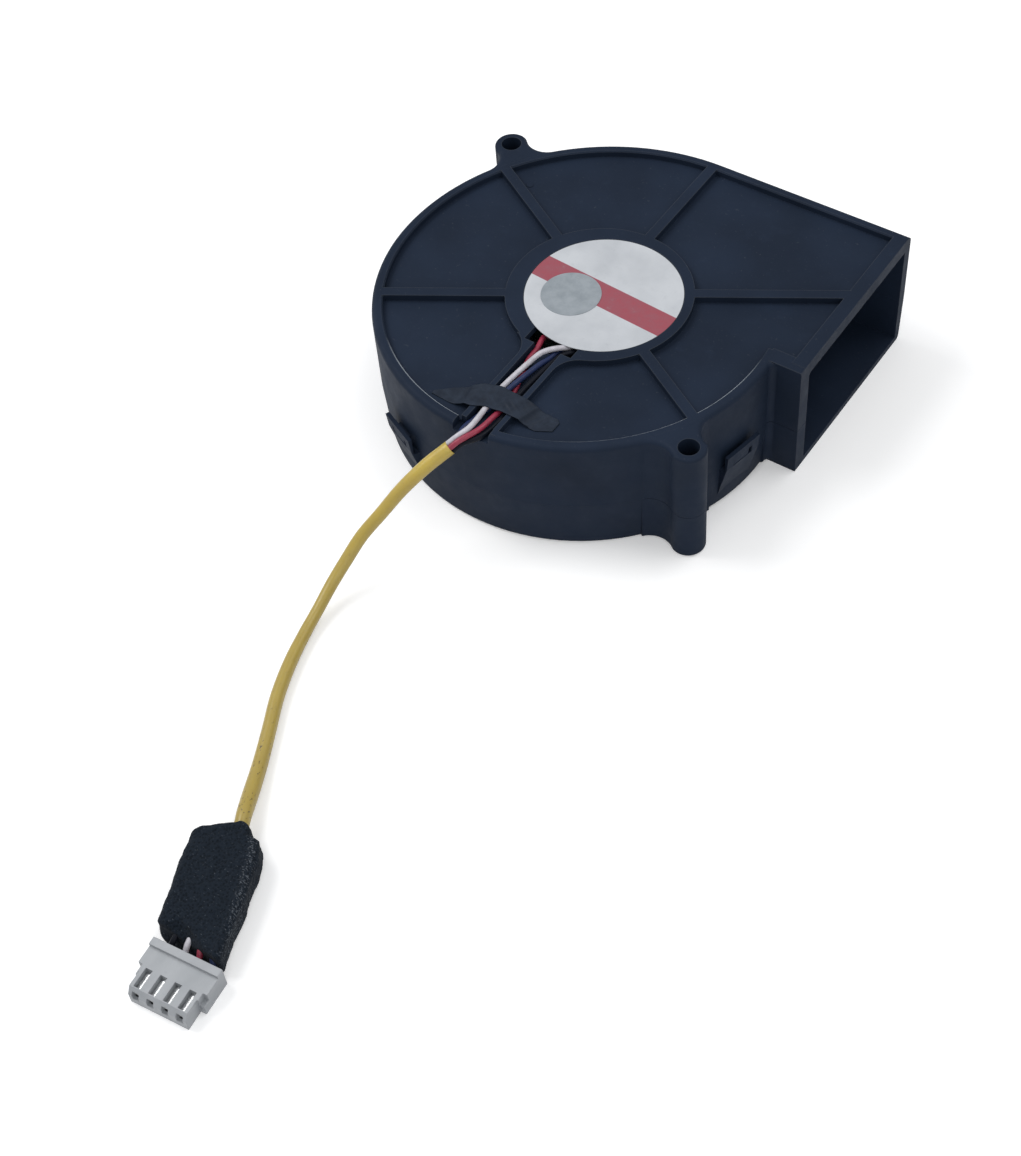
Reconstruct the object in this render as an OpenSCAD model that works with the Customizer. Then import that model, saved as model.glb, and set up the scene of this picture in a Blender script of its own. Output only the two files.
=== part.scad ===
// Direct-current centrifugal blower with a scroll housing, a brushless
// outer-rotor motor and a four-wire lead with a connector.
// Millimetres. The rotor axis is Z, the inlet face is at z = 0 and the
// outlet blows along +X.

/* [Housing] */
// Overall thickness, from the inlet face to the label face
height = 30; // [28:0.5:34]
// Height of the seam between cover and base
seam_z = 12.5; // [11:0.25:13.5]
// Side wall thickness
wall = 2.4; // [2:0.1:2.8]
// Thickness of the base's panels
base_plate = 1.4; // [1:0.1:1.8]
// Thickness of the cover's plate
cover_plate = 1.5; // [1:0.1:2]
// Depth of the panels below the rim
panel_recess = 1.6; // [1:0.1:2]
// Rounding of the base's outer top edge
top_round = 1.2; // [0.6:0.1:1.3]
// Rounding of the cover's outer bottom edge
bottom_round = 1; // [0.3:0.1:1.2]
// Bevel of the rim's inner edge
rim_bevel = 0.3; // [0.1:0.05:0.3]
// How far the cover's wall leans in from the seam to its bottom
cover_draft = 0.6; // [0.2:0.1:0.8]
// Width of the base's ribs
rib_w = 2.4; // [1.6:0.1:3.2]
// Width of the raised band along the outlet edge
outlet_band = 3.2; // [2:0.1:5]

/* [Scroll] */
// Distance from the rotor axis to the straight outer wall
straight_wall_y = 48.8; // [48.2:0.2:52]
// Where the straight wall meets the scroll
scroll_start_x = 1.2; // [0.6:0.2:5]
// Radius of the first quarter of the scroll
scroll_r1 = 49.9; // [49.6:0.1:52]
// Radius of the second quarter of the scroll
scroll_r2 = 45.6; // [45:0.2:47.6]
// Radius of the third quarter of the scroll
scroll_r3 = 44.5; // [43.6:0.1:45]
// Distance from the rotor axis to the outlet face
outlet_x = 48.2; // [46:0.2:54]
// Outer face of the duct wall at the tongue
tongue_y = 0.9; // [0:0.1:2]
// Thickness of the duct wall at the tongue
tongue_wall = 3.6; // [2:0.1:4.5]
// Radius of the hollow corner between scroll and duct
corner_r = 1.5; // [1:0.1:2.5]
// Radius of the duct's inner top corner beside the tongue
duct_corner = 1.5; // [1:0.1:2]
// Length of the duct's rounded inner corner
duct_corner_len = 7; // [5:0.5:7.5]

/* [Mounting ears] */
// Diameter of the circle through the two ear holes
bolt_circle = 101.5; // [100:0.5:106]
// Direction of the first ear hole from the circle's centre
bolt_turn = 144.6; // [142:0.2:147]
// Circle's centre along X
bolt_x = -2.4; // [-3:0.1:-2]
// Circle's centre along Y
bolt_y = 1.5; // [1:0.1:2]
// Diameter of the ear holes
ear_hole = 4.5; // [3:0.1:5]
// Diameter of the ear bosses
ear_boss = 7.6; // [6.5:0.1:9]
// Radius of the ears' hollow flanks
flank_r = 5; // [4:0.25:7]
// Rounding of the ear bosses' edges
boss_round = 0.6; // [0.3:0.1:0.8]

/* [Snap latches] */
// Width of a latch strap
latch_w = 9.8; // [7:0.2:12]
// Thickness of a latch strap at its top
latch_t = 0.9; // [0.8:0.1:1.2]
// How far a strap's outer face leans in at the seam
latch_lean = 0.4; // [0.1:0.1:0.5]
// Space between a strap and the wall
latch_gap = 1.1; // [0.9:0.1:1.6]
// How far a strap rises past the seam
latch_rise = 3.9; // [3:0.1:5]
// Height at which a strap's sloped foot starts
latch_foot = 1.5; // [1:0.25:4]
// Width of a strap's window
latch_window = 5.6; // [4:0.2:6]

/* [Hub and label] */
// Radius of the raised hub
hub_r = 20.2; // [19.6:0.1:21.5]
// Thickness of the hub's top
hub_plate = 1.6; // [1.2:0.1:1.6]
// Thickness of the hub's side wall
hub_wall = 1.6; // [1:0.1:2]
// Radius of the label
label_r = 17; // [14:0.25:18]
// Thickness of the label
label_t = 0.15; // [0.1:0.05:0.3]
// Depth of the label's seat
label_seat = 0.2; // [0.1:0.05:0.4]
// Radius of the small round sticker
sticker_r = 6.5; // [4:0.1:7]
// Thickness of the small round sticker
sticker_t = 0.1; // [0.05:0.05:0.2]

/* [Inlet] */
// Diameter of the inlet
inlet_d = 57; // [54:0.5:60]
// Height of the inlet's lip above the cover's outer face
inlet_lip = 3; // [2.2:0.1:3.2]
// Radius of the inlet's bell mouth
inlet_bell = 2; // [1:0.1:2.2]
// Thickness of the inlet's lip at its top
inlet_lip_t = 1.2; // [0.8:0.1:2]

/* [Impeller] */
// Outer diameter of the impeller
impeller_d = 72; // [68:0.5:73]
// Diameter at the blades' inner edges
blade_eye_d = 55; // [50:0.5:58]
// Number of blades
blade_count = 36; // [24:1:40]
// Blade thickness
blade_t = 1; // [0.7:0.1:1.3]
// Radius of a blade's curve
blade_curve = 7; // [6:0.25:9]
// Thickness of the impeller's back plate
back_plate = 1.2; // [0.8:0.1:2]
// Width of the ring that ties the blades' inlet ends
tie_ring_w = 1.6; // [1:0.1:3]
// Height of the ring that ties the blades' inlet ends
tie_ring_h = 1.6; // [1:0.1:3]
// Thickness of the impeller hub's wall
impeller_hub_wall = 1.6; // [1.2:0.1:2]
// Running space between impeller and housing
impeller_gap = 1; // [0.6:0.1:1.5]

/* [Motor] */
// Shaft diameter
shaft_d = 3; // [2:0.1:3.2]
// Outer diameter of a bearing
bearing_od = 8; // [7.6:0.1:9]
// Width of a bearing
bearing_w = 4; // [3:0.1:4.4]
// Ball diameter
ball_d = 1.5; // [1:0.1:1.6]
// Number of balls in a bearing
ball_count = 7; // [5:1:8]
// Wall of the bearing tube
tube_wall = 1; // [0.8:0.1:1.4]
// Outer radius of the rotor cup
cup_r = 17; // [16.6:0.1:17.4]
// Wall of the rotor cup
cup_wall = 0.8; // [0.6:0.1:1]
// Radial thickness of the rotor magnet
magnet_t = 1.8; // [1.2:0.1:2.2]
// Length of the rotor magnet
magnet_len = 13; // [10:0.5:13.5]
// Air gap between magnet and stator
air_gap = 0.5; // [0.3:0.05:0.8]
// Height of the stator's lamination stack
stack_h = 8; // [6:0.5:8.5]
// Width of a stator tooth's neck
tooth_w = 4.5; // [3:0.25:5]
// Thickness of a coil's winding
coil_t = 2.2; // [1.4:0.1:2.4]
// Radius of the circuit board
board_r = 16; // [14.5:0.25:16.4]
// Thickness of the circuit board
board_t = 1.2; // [0.8:0.1:1.6]

/* [Lead] */
// Wire diameter
wire_d = 1.2; // [0.8:0.05:1.2]
// Outer diameter of the sleeve
sleeve_d = 3.4; // [3:0.1:3.5]
// Width of the channel that holds the wires
channel_w = 6.6; // [6.2:0.1:7.4]
// Thickness of the channel's side walls
channel_wall = 1.2; // [0.8:0.1:1.8]
// Depth of the channel below the rim
channel_depth = 2.2; // [2:0.1:2.4]
// Width of the tape over the channel
tape_w = 6; // [4:0.5:8]
// Thickness of the tape
tape_t = 0.2; // [0.15:0.05:0.4]
// Length of the foam wrap
foam_len = 25; // [20:0.5:25.5]
// Width of the foam wrap where the sleeve goes in
foam_rear_w = 10.8; // [10:0.2:14]
// Width of the foam wrap at the connector
foam_w = 15.6; // [12:0.2:17]
// Thickness of the foam wrap
foam_h = 7; // [6:0.5:9]

/* [Connector] */
// Distance between the connector's ways
pitch = 3.2; // [3:0.1:3.4]
// Width of the connector at its wire end
connector_w = 15; // [14:0.25:17]
// Width of the connector's nose
nose_w = 12.6; // [12:0.2:13.6]
// Length of the connector
connector_len = 10.8; // [9:0.2:13]
// Length of the connector's nose
nose_len = 4; // [3:0.2:5]
// Height of the connector
connector_h = 5.4; // [5:0.1:7]
// Width of a terminal
terminal_w = 1.2; // [0.8:0.1:1.5]

/* [Hidden] */
$fn = 96;
// Reach of a cut past the face that it opens
cut = 1;
// Step between faces that nearly line up, such as at the seam
relief = 0.05;
// Play between pieces that are pushed together
play = 0.1;
// Running play between balls and races
ball_play = 0.06;

function heading(turn) = [cos(turn), sin(turn)];
function arc_points(centre, r, from, to, steps) =
    [for (i = [0 : steps]) centre + r * heading(from + (to - from) * i / steps)];

// Scroll: three arcs of growing radius that meet a quarter turn apart
arc_1 = [scroll_start_x, straight_wall_y - scroll_r1];
arc_2 = arc_1 - [scroll_r1 - scroll_r2, 0];
arc_3 = arc_2 - [0, scroll_r2 - scroll_r3];
// The third arc ends a little inside the tongue
tongue_nose = 0.3;
scroll_end = 360 + asin((tongue_y + tongue_wall - tongue_nose - arc_3.y) / scroll_r3);
ARCS = [
    [arc_1, scroll_r1, 90, 180],
    [arc_2, scroll_r2, 180, 270],
    [arc_3, scroll_r3, 270, scroll_end]
];
// Distance from the rotor axis to an arc's wall, set in from its outer face
function reach(turn, arc, inset) =
    let (k = heading(turn) * arc[0])
    k + sqrt(k * k - arc[0] * arc[0] + pow(arc[1] - inset, 2));
// The plates' outline, inside the walls; its points keep off the places where arcs meet
scroll_steps = 30;
function scroll_points(inset) = concat(
    [for (arc = ARCS) for (i = [0 : scroll_steps - 1])
        arc[0] + (arc[1] - inset) * heading(arc[2] + (arc[3] - arc[2]) * (i + 0.5) / scroll_steps)],
    [[outlet_x, tongue_y + inset], [outlet_x, straight_wall_y - inset]]
);

// Ears: arc, direction from the arc's centre and distance of each hole
ear_1 = [bolt_x, bolt_y] + bolt_circle / 2 * heading(bolt_turn);
ear_2 = [bolt_x, bolt_y] - bolt_circle / 2 * heading(bolt_turn);
EARS = [[ARCS[0], ear_1], [ARCS[2], ear_2]];
boss_r = ear_boss / 2;

// Latches: a point on the wall and the wall's outward direction
LATCH_TURNS = [126, 245.5, 348.5];
wall_latch_x = 28;
LATCHES = concat(
    [for (i = [0 : 2]) [ARCS[i][0] + ARCS[i][1] * heading(LATCH_TURNS[i]), LATCH_TURNS[i]]],
    [[[wall_latch_x, straight_wall_y], 90]]
);
latch_outer = latch_gap + latch_t;
latch_seam_outer = latch_outer - latch_lean;
// The strap's space behind it and its window, both from below the seam
latch_root = 0.8;
window_drop = 0.05;
// The catch: height, play at its two ends and distance from the strap's outer face
catch_h = 1.9;
catch_near = 0.9;
catch_far = 0.2;
catch_inset = 0.1;

// Depth below the wall's outer face at which ribs and ears end
wall_join = 0.7 * wall;
rim_edge = min(rim_bevel, (wall - top_round) / 2);
// Hollow corner where the scroll meets the duct's outer wall, sunk a little into both
corner_sink = 0.03;
corner_y = tongue_y - corner_r + corner_sink;
corner_x = arc_3.x + sqrt(pow(scroll_r3 + corner_r - corner_sink, 2) - pow(corner_y - arc_3.y, 2));
corner_end = 180 + atan2(corner_y - arc_3.y, corner_x - arc_3.x);

// Heights in the base
panel_top = height - panel_recess;
panel_bottom = panel_top - base_plate;
panel_middle = panel_top - base_plate / 2;
hub_bottom = height - hub_plate;
channel_floor = height - channel_depth;
// Ribs that end at the scroll: direction and arc; one more ends at the outlet's band
RIB_TURNS = [[90, 0], [150, 0], [210, 1], [330, 2]];
outlet_rib_turn = 30;

// The moulding's gate mark on one panel
gate_at = [-33.2, 22.6];
gate_r = 0.8;
gate_h = 0.15;

// The wire channel lies along -Y, a little off the axis
channel_x = -0.4;
channel_right = channel_x + channel_w / 2 + channel_wall;
channel_left = channel_x - channel_w / 2 - channel_wall;
flare_r = 6;
slot_w = 11.5;
slot_from = 14.6;
slot_to = 19.4;
notch_w = 8.4;
notch_x = -1.2;

// Label and sticker, set a little off the axis
label_x = 1;
label_y = 0.1;
sticker_x = -5;
sticker_y = -3.4;

// Impeller and rotor cup
inlet_r = inlet_d / 2;
impeller_r = impeller_d / 2;
tip_inset = 0.2;
blade_tip_r = impeller_r - tip_inset;
impeller_bottom = inlet_lip + impeller_gap;
impeller_top = panel_bottom - impeller_gap;
blade_bottom = impeller_bottom + tie_ring_h;
blade_top = impeller_top - back_plate;
// A blade's curve: its centre outside the eye, its turn for each millimetre of curve, and its cut ends
blade_centre_out = 3;
blade_turn = 1.86;
blade_heel = 0.36;
hub_face = 5.5;
hub_floor = hub_face + impeller_hub_wall;
impeller_hub_r = cup_r + impeller_hub_wall;
cup_plate = 1;
cup_floor = hub_floor + cup_plate;
cup_inset = 2.2;
cup_top = impeller_top - cup_inset;
magnet_r = cup_r - cup_wall;
magnet_bore = magnet_r - magnet_t;
magnet_inset = 0.5;
magnet_top = cup_top - magnet_inset;

// Bearings, tube and shaft
shaft_r = shaft_d / 2;
bearing_r = bearing_od / 2;
tube_r = bearing_r + tube_wall;
race_pitch = (shaft_r + bearing_r) / 2;
race_land = 0.3;
ball_r = ball_d / 2;
bush_r = 4;
bush_flange = 1.4;
bush_top = cup_floor + bush_flange;
spring_h = 1.6;
spring_wire_r = 0.2;
spring_side = 0.1;
spring_end = 0.02;
spring_turns = 3;
spring_steps = 14;
lower_bearing = bush_top + spring_h;
bearing_inset = 1;
upper_bearing = panel_bottom - bearing_inset - bearing_w;
tube_lip = 0.3;
tube_bottom = lower_bearing - tube_lip;
tube_seat_wall = 1.5;
tube_step = 0.7;
clip_t = 0.5;
clip_z = upper_bearing + bearing_w;
clip_r = 2.6;
clip_groove = 0.4;
clip_mouth = 1.6;
shaft_end = 0.9;
shaft_top = clip_z + clip_t + shaft_end;

// Stator
tip_r = magnet_bore - air_gap;
tip_t = 1.7;
tip_span = 36;
stator_ring_w = 2.6;
stator_ring_r = tube_r + stator_ring_w;
// Where teeth and insulator arms start inside the ring, and the insulators' collar
tooth_root = 1;
collar_wall = 1.3;
collar_drop = 0.6;
stack_z = magnet_top - (magnet_len + stack_h) / 2;
insulator_t = 0.7;
coil_space = 0.3;
coil_from = stator_ring_r + coil_space;
coil_half = tooth_w / 2 + insulator_t + coil_t;
coil_to = sqrt(pow(tip_r - tip_t, 2) - pow(coil_half, 2)) - coil_space;
COIL_TURNS = [0, 90, 180, 270];

// Circuit board and its components
board_space = 0.4;
board_z = panel_bottom - board_t - board_space;
board_top = board_z + board_t;
board_bore = tube_r + coil_space;
chip_size = [5, 4, 1.4];
chip_at = [9.5, 4];
capacitor_size = [3.2, 2.6, 1.4];
capacitor_at = [-10, 3];
sensor_size = [3, 1.5, 1.6];
sensor_inset = 1.3;
sensor_at = [0, magnet_bore + magnet_t / 2 - sensor_inset];

// Foam wrap and connector, each with the direction in which the lead runs
foam_at = [1.9, -136.5];
foam_turn = -63;
foam_front = foam_at + foam_len * heading(foam_turn);
foam_front_turn = 0;
foam_corner = 2.4;
connector_at = [14, -160.4];
connector_turn = -84;
function along(origin, turn, forward, across, z) =
    let (p = origin + forward * heading(turn) + across * heading(turn + 90)) [p.x, p.y, z];
wire_z = connector_h / 2;
WAYS = [-1.5, -0.5, 0.5, 1.5];
ridge = 0.8;
window_space = 0.3;
window_w = terminal_w + window_space;
window_len = 4;
window_front = 1.2;
window_from = connector_len - window_len - window_front;
cavity_h = 2;
// The nose's sloped front and the notches behind the nose
nose_lip = 2.9;
nose_slope = 1;
side_notch = 1.6;
side_notch_depth = 0.9;
terminal_nose = 0.6;
terminal_wall = 0.25;
terminal_back = 1;

// Sleeve: from the wires' end down to the floor and along it to the foam
sleeve_across = 3.5;
sleeve_straight = 4;
sleeve_into_foam = along(foam_at, foam_turn, 0, sleeve_across, foam_h / 2);
sleeve_before_foam = along(foam_at, foam_turn, -sleeve_straight, sleeve_across, foam_h / 2);
SLEEVE = concat([
    [-3.5, -50.5, 27], [-6.5, -55, 24], [-9.5, -60, 20], [-12, -64.5, 15.5], [-14.5, -69, 11],
    [-15.5, -73.5, 7.5], [-16, -78.5, 4.5], [-15.5, -84, 2.7], [-14.5, -90, 1.9], [-12.5, -97.5, 1.8],
    [-9.5, -105.5, 1.8], [-6, -112.5, 1.8], [-2.3, -120, 1.9], [1.5, -128, 2.8]
], [sleeve_before_foam, sleeve_into_foam]);

// Wires: side by side in the sleeve, and one route each from the board to the sleeve
function unit(v) = v / norm(v);
sleeve_start = SLEEVE[0];
sleeve_way = unit(SLEEVE[1] - SLEEVE[0]);
sleeve_side = unit(cross(sleeve_way, [0, 0, 1]));
sleeve_up = cross(sleeve_side, sleeve_way);
wire_space = 0.03;
wire_spread = wire_d / 2 + wire_space;
wire_straight = 2.5;
function wire_end(side, up) =
    let (p = sleeve_start + wire_spread * (side * sleeve_side + up * sleeve_up))
    [p - wire_straight * sleeve_way, p];
RED = concat([
    [-4, -14, board_top], [-4, -14, 27.2], [-3.8, -16, 28.3], [-3, -19.6, 28.5], [-2.8, -23, 28.45],
    [-0.5, -31, 28.45], [0.3, -34, 28.45], [0.6, -38, 28.8], [0.6, -41, 29.3], [0.2, -45, 29.4]
], wire_end(-1, 1));
WHITE = concat([
    [2.8, -14, board_top], [2.8, -14, 27.2], [2.6, -16, 28.7], [1, -18.4, 29.7], [-0.8, -20.8, 29.7],
    [-1.5, -24.5, 29.7], [-2.3, -33, 29.7], [-2.3, -36, 29.7], [-1.9, -40, 29.7], [-1.6, -46, 29.8]
], wire_end(1, 1));
BLUE = concat([
    [1, -14, board_top], [1, -14, 26.8], [1.2, -16.2, 27.8], [1, -18.6, 28.42], [0.8, -21, 28.6],
    [0.5, -24, 29.4], [-0.7, -32, 29.7], [-0.9, -34, 29.6], [-1.2, -36, 28.9], [-1.7, -38, 28.5],
    [-2.8, -42, 28.45], [-3.2, -46.9, 28.42]
], wire_end(1, -1));
BLACK = concat([
    [4.6, -14, board_top], [4.6, -14, 27.2], [4.2, -16, 28.3], [2.4, -18.8, 28.5], [2.1, -21, 28.6],
    [2.1, -23, 29], [1.6, -33, 29.3], [1.9, -38, 28.6], [1.7, -42, 28.45], [0.8, -46.4, 28.45]
], wire_end(-1, -1));
WIRES = [RED, WHITE, BLUE, BLACK];
tube_sides = 8;
// Each wire's end, straight where it leaves the foam and where it meets the connector
tail_straight = 0.4;
tail_pitch = 2.8;
// The way of the connector that each wire goes to
WIRE_WAYS = [0.5, -0.5, 1.5, -1.5];
function tail(way) = [
    along(foam_front, foam_front_turn - 90, 0, way * tail_pitch, wire_z),
    along(foam_front, foam_front_turn - 90, tail_straight, way * tail_pitch, wire_z),
    along(connector_at, connector_turn, -tail_straight, way * pitch, wire_z),
    along(connector_at, connector_turn, 0, way * pitch, wire_z)
];

// Tape: a strip across the channel, down on the panels at both ends
tape_x = 0;
tape_y = -37.4;
tape_turn = 6;
tape_reach = 14;
tape_ramp = 4;
tape_lift = 0.4;

// A wall profile carried along the scroll and the straight wall
module along_wall() {
    for (arc = ARCS)
        translate(arc[0])
            rotate(arc[2])
                rotate_extrude(angle = arc[3] - arc[2])
                    translate([arc[1], 0])
                        children();
    translate([scroll_start_x, straight_wall_y])
        rotate([90, 0, 90])
            linear_extrude(outlet_x - scroll_start_x)
                children();
}

module base_wall_profile() {
    polygon(concat(
        [[-wall + rim_edge, height], [-wall, height - rim_edge], [-wall, seam_z], [0, seam_z]],
        arc_points([-top_round, height - top_round], top_round, 0, 90, 6)
    ));
}

module cover_wall_profile() {
    polygon(concat(
        [[0, seam_z], [-wall, seam_z], [-wall, 0]],
        arc_points([-cover_draft - bottom_round, bottom_round], bottom_round, -90, 0, 4)
    ));
}

// The solid between the scroll's end and the duct
module tongue(low, high) {
    translate([0, 0, low + relief])
        linear_extrude(high - low - 2 * relief)
            difference() {
                translate([arc_3.x, tongue_y])
                    square([outlet_x - arc_3.x, tongue_wall]);
                translate(arc_3)
                    circle(scroll_r3 - wall / 2);
            }
}

// A wall profile carried round the hollow corner between scroll and duct
module along_corner() {
    translate([corner_x, corner_y])
        rotate(90)
            rotate_extrude(angle = corner_end - 90)
                translate([corner_r, 0])
                    children();
}

module base_corner_profile() {
    polygon(concat(
        [[wall_join, height - 2 * relief], [wall_join, seam_z + 2 * relief], [0, seam_z + 2 * relief]],
        arc_points([top_round, height - 2 * relief - top_round], top_round, 180, 90, 6)
    ));
}

module cover_corner_profile() {
    polygon(concat(
        [[0, seam_z - 2 * relief], [wall_join, seam_z - 2 * relief], [wall_join, 2 * relief]],
        arc_points([bottom_round, 2 * relief + bottom_round], bottom_round, 270, 180, 4)
    ));
}

// The rounded inner corner of the duct, under the panel and beside the tongue
module duct_fillet() {
    inner_y = tongue_y + tongue_wall;
    back_y = inner_y - wall_join;
    centre = [inner_y + duct_corner - corner_sink, panel_bottom - duct_corner + corner_sink];
    translate([outlet_x - relief - duct_corner_len, 0])
        rotate([90, 0, 90])
            linear_extrude(duct_corner_len)
                polygon(concat(
                    [[centre.x, panel_middle], [back_y, panel_middle], [back_y, centre.y]],
                    arc_points(centre, duct_corner, 180, 90, 6)
                ));
}

// Puts a piece at an ear's arc, with the ear's hole along X
module at_ear(ear) {
    to_hole = ear[1] - ear[0][0];
    translate(ear[0][0])
        rotate(atan2(to_hole.y, to_hole.x))
            children();
}

// Centre of an ear's hollow flank, which touches both the wall and the boss
function flank_centre(ear) =
    let (
        distance = norm(ear[1] - ear[0][0]),
        wall_reach = ear[0][1] + flank_r - corner_sink,
        boss_reach = boss_r + flank_r - corner_sink,
        x = (pow(distance, 2) + pow(wall_reach, 2) - pow(boss_reach, 2)) / (2 * distance)
    )
    [x, sqrt(pow(wall_reach, 2) - pow(x, 2))];

// The web between an ear's boss and the wall
module ear_web(ear) {
    flank = flank_centre(ear);
    root = ear[0][1] - wall_join;
    root_turn = atan2(flank.y, flank.x);
    difference() {
        polygon([
            root * heading(-root_turn), [root, 0], root * heading(root_turn),
            flank, [norm(ear[1] - ear[0][0]), 0], [flank.x, -flank.y]
        ]);
        for (side = [-1, 1])
            translate([flank.x, side * flank.y])
                circle(flank_r);
    }
}

// What rounds the top edge of an ear's flank
module flank_edge(edge) {
    reach_r = flank_r + edge - 2 * corner_sink;
    rotate_extrude()
        polygon(concat(
            [[0, 0]],
            arc_points([reach_r, 0], edge, 180, 90, 6),
            [[reach_r, edge + cut], [0, edge + cut]]
        ));
}

// The ears from the seam up to a height, with rounded edges there
module ears(h, edge) {
    top = h - relief;
    for (ear = EARS)
        at_ear(ear)
            difference() {
                union() {
                    translate([0, 0, relief])
                        linear_extrude(top - relief)
                            ear_web(ear);
                    translate([norm(ear[1] - ear[0][0]), 0])
                        rotate_extrude()
                            polygon(concat(
                                [[0, top], [0, relief], [boss_r, relief]],
                                arc_points([boss_r - boss_round, top - boss_round], boss_round, 0, 90, 4)
                            ));
                }
                for (side = [-1, 1])
                    translate([flank_centre(ear).x, side * flank_centre(ear).y, top - edge])
                        flank_edge(edge);
            }
}

module ear_holes() {
    for (ear = EARS)
        translate([ear[1].x, ear[1].y, -cut])
            cylinder(d = ear_hole, h = height + 2 * cut);
}

// Puts a latch at each latch place, with its outward direction along X
module at_latches() {
    for (latch = LATCHES)
        translate(latch[0])
            rotate(latch[1])
                children();
}

// A strap that stands off the wall on a long sloped foot, with a window for the base's catch
module latch_strap() {
    strap_top = seam_z + latch_rise;
    root = seam_z - latch_root;
    difference() {
        rotate([90, 0, 0])
            linear_extrude(latch_w, center = true)
                polygon([
                    [-wall / 2, latch_foot], [latch_seam_outer, seam_z], [latch_outer, strap_top],
                    [latch_gap, strap_top], [latch_gap, root], [-wall / 2, root]
                ]);
        translate([latch_gap - cut, -latch_window / 2, seam_z - window_drop])
            cube([latch_t + 2 * cut, latch_window, window_drop + catch_h + play]);
    }
}

// The catch on the base that a strap's top bar snaps over, sloped like the strap
module latch_catch() {
    lip = latch_seam_outer - catch_inset;
    translate([0, latch_window / 2 - catch_near, seam_z])
        rotate([90, 0, 0])
            linear_extrude(latch_window - catch_near - catch_far)
                polygon([
                    [-wall / 2, 0], [lip, 0], [lip + latch_lean * catch_h / latch_rise, catch_h],
                    [-wall / 2, catch_h]
                ]);
}

// Hollow corner between the hub and the channel's side wall
module channel_flare() {
    centre = [channel_right + flare_r,
        -sqrt(pow(hub_r + flare_r, 2) - pow(channel_right + flare_r, 2))];
    from = atan2(-centre.y, -centre.x);
    polygon(concat(
        [[channel_x, -hub_r + hub_wall], [channel_x, centre.y]],
        arc_points(centre, flare_r, 180, from, 7)
    ));
}

module channel_block() {
    linear_extrude(height - panel_middle) {
        translate([channel_left, -reach(270, ARCS[2], wall / 2)])
            square([channel_right - channel_left, reach(270, ARCS[2], wall / 2) - slot_to]);
        channel_flare();
        translate([2 * channel_x, 0])
            mirror([1, 0])
                channel_flare();
    }
}

module channel_cuts() {
    far = reach(270, ARCS[2], 0) + cut;
    translate([channel_x - channel_w / 2, -far, channel_floor])
        cube([channel_w, far - slot_from, channel_depth + cut]);
    translate([notch_x - notch_w / 2, -far - cut, channel_floor])
        cube([notch_w, far + cut - reach(270, ARCS[2], wall + play), channel_depth + cut]);
    translate([channel_x - slot_w / 2, -slot_to, hub_bottom - cut])
        cube([slot_w, slot_to - slot_from, hub_plate + 2 * cut]);
}

module ribs() {
    rib_h = height - panel_middle;
    from = hub_r - hub_wall;
    for (rib = RIB_TURNS)
        rotate(rib[0])
            translate([from, -rib_w / 2, panel_middle])
                cube([reach(rib[0], ARCS[rib[1]], wall_join) - from, rib_w, rib_h]);
    rotate(outlet_rib_turn)
        translate([from, -rib_w / 2, panel_middle])
            cube([(outlet_x - outlet_band / 2) / cos(outlet_rib_turn) - from, rib_w, rib_h]);
    translate([outlet_x - outlet_band, tongue_y + tongue_wall / 2, panel_middle])
        cube([outlet_band, straight_wall_y - wall_join - tongue_y - tongue_wall / 2, rib_h]);
}

module housing_base() {
    color("#232b38")
        difference() {
            union() {
                along_wall()
                    base_wall_profile();
                translate([0, 0, panel_bottom])
                    linear_extrude(base_plate)
                        polygon(scroll_points(wall / 2));
                translate([0, 0, panel_middle])
                    cylinder(r = hub_r, h = height - panel_middle);
                ribs();
                translate([gate_at.x, gate_at.y, panel_middle])
                    cylinder(r = gate_r, h = panel_top + gate_h - panel_middle);
                translate([0, 0, panel_middle])
                    channel_block();
                tongue(seam_z, height);
                along_corner()
                    base_corner_profile();
                duct_fillet();
                translate([0, 0, seam_z])
                    ears(height - seam_z, top_round);
                at_latches()
                    latch_catch();
            }
            ear_holes();
            channel_cuts();
            difference() {
                translate([0, 0, panel_bottom - cut])
                    cylinder(r = hub_r - hub_wall, h = hub_bottom - panel_bottom + cut);
                translate([0, 0, board_top])
                    cylinder(r = tube_r + tube_seat_wall, h = height - board_top);
            }
            translate([0, 0, panel_bottom - cut])
                cylinder(r = tube_r, h = hub_bottom - panel_bottom + cut);
            translate([0, 0, panel_bottom])
                cylinder(r = bearing_r, h = height);
            translate([label_x, label_y, height - label_seat])
                cylinder(r = label_r + play, h = label_seat + cut);
        }
}

module housing_cover() {
    color("#1f2733")
        difference() {
            union() {
                along_wall()
                    cover_wall_profile();
                linear_extrude(cover_plate)
                    polygon(scroll_points(wall / 2));
                cylinder(r = inlet_r + inlet_lip_t, h = inlet_lip);
                tongue(0, seam_z);
                along_corner()
                    cover_corner_profile();
                translate([0, 0, seam_z])
                    mirror([0, 0, 1])
                        ears(seam_z, bottom_round);
                at_latches()
                    latch_strap();
            }
            rotate_extrude()
                polygon(concat(
                    [[0, -cut], [inlet_r + inlet_bell, -cut]],
                    arc_points([inlet_r + inlet_bell, inlet_bell], inlet_bell, 270, 180, 6),
                    [[inlet_r, inlet_lip + cut], [0, inlet_lip + cut]]
                ));
            ear_holes();
        }
}

// One forward-curved blade, where its inner edge starts
module blade_outline() {
    centre = (blade_eye_d / 2 + blade_centre_out) * heading(-blade_curve * blade_turn);
    intersection() {
        difference() {
            circle(blade_tip_r);
            circle(blade_eye_d / 2);
        }
        translate(centre)
            difference() {
                circle(blade_curve + blade_t / 2);
                circle(blade_curve - blade_t / 2);
            }
        translate([blade_eye_d / 2 - blade_centre_out, centre.y + blade_curve * blade_heel])
            square([impeller_r, blade_curve]);
    }
}

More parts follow.
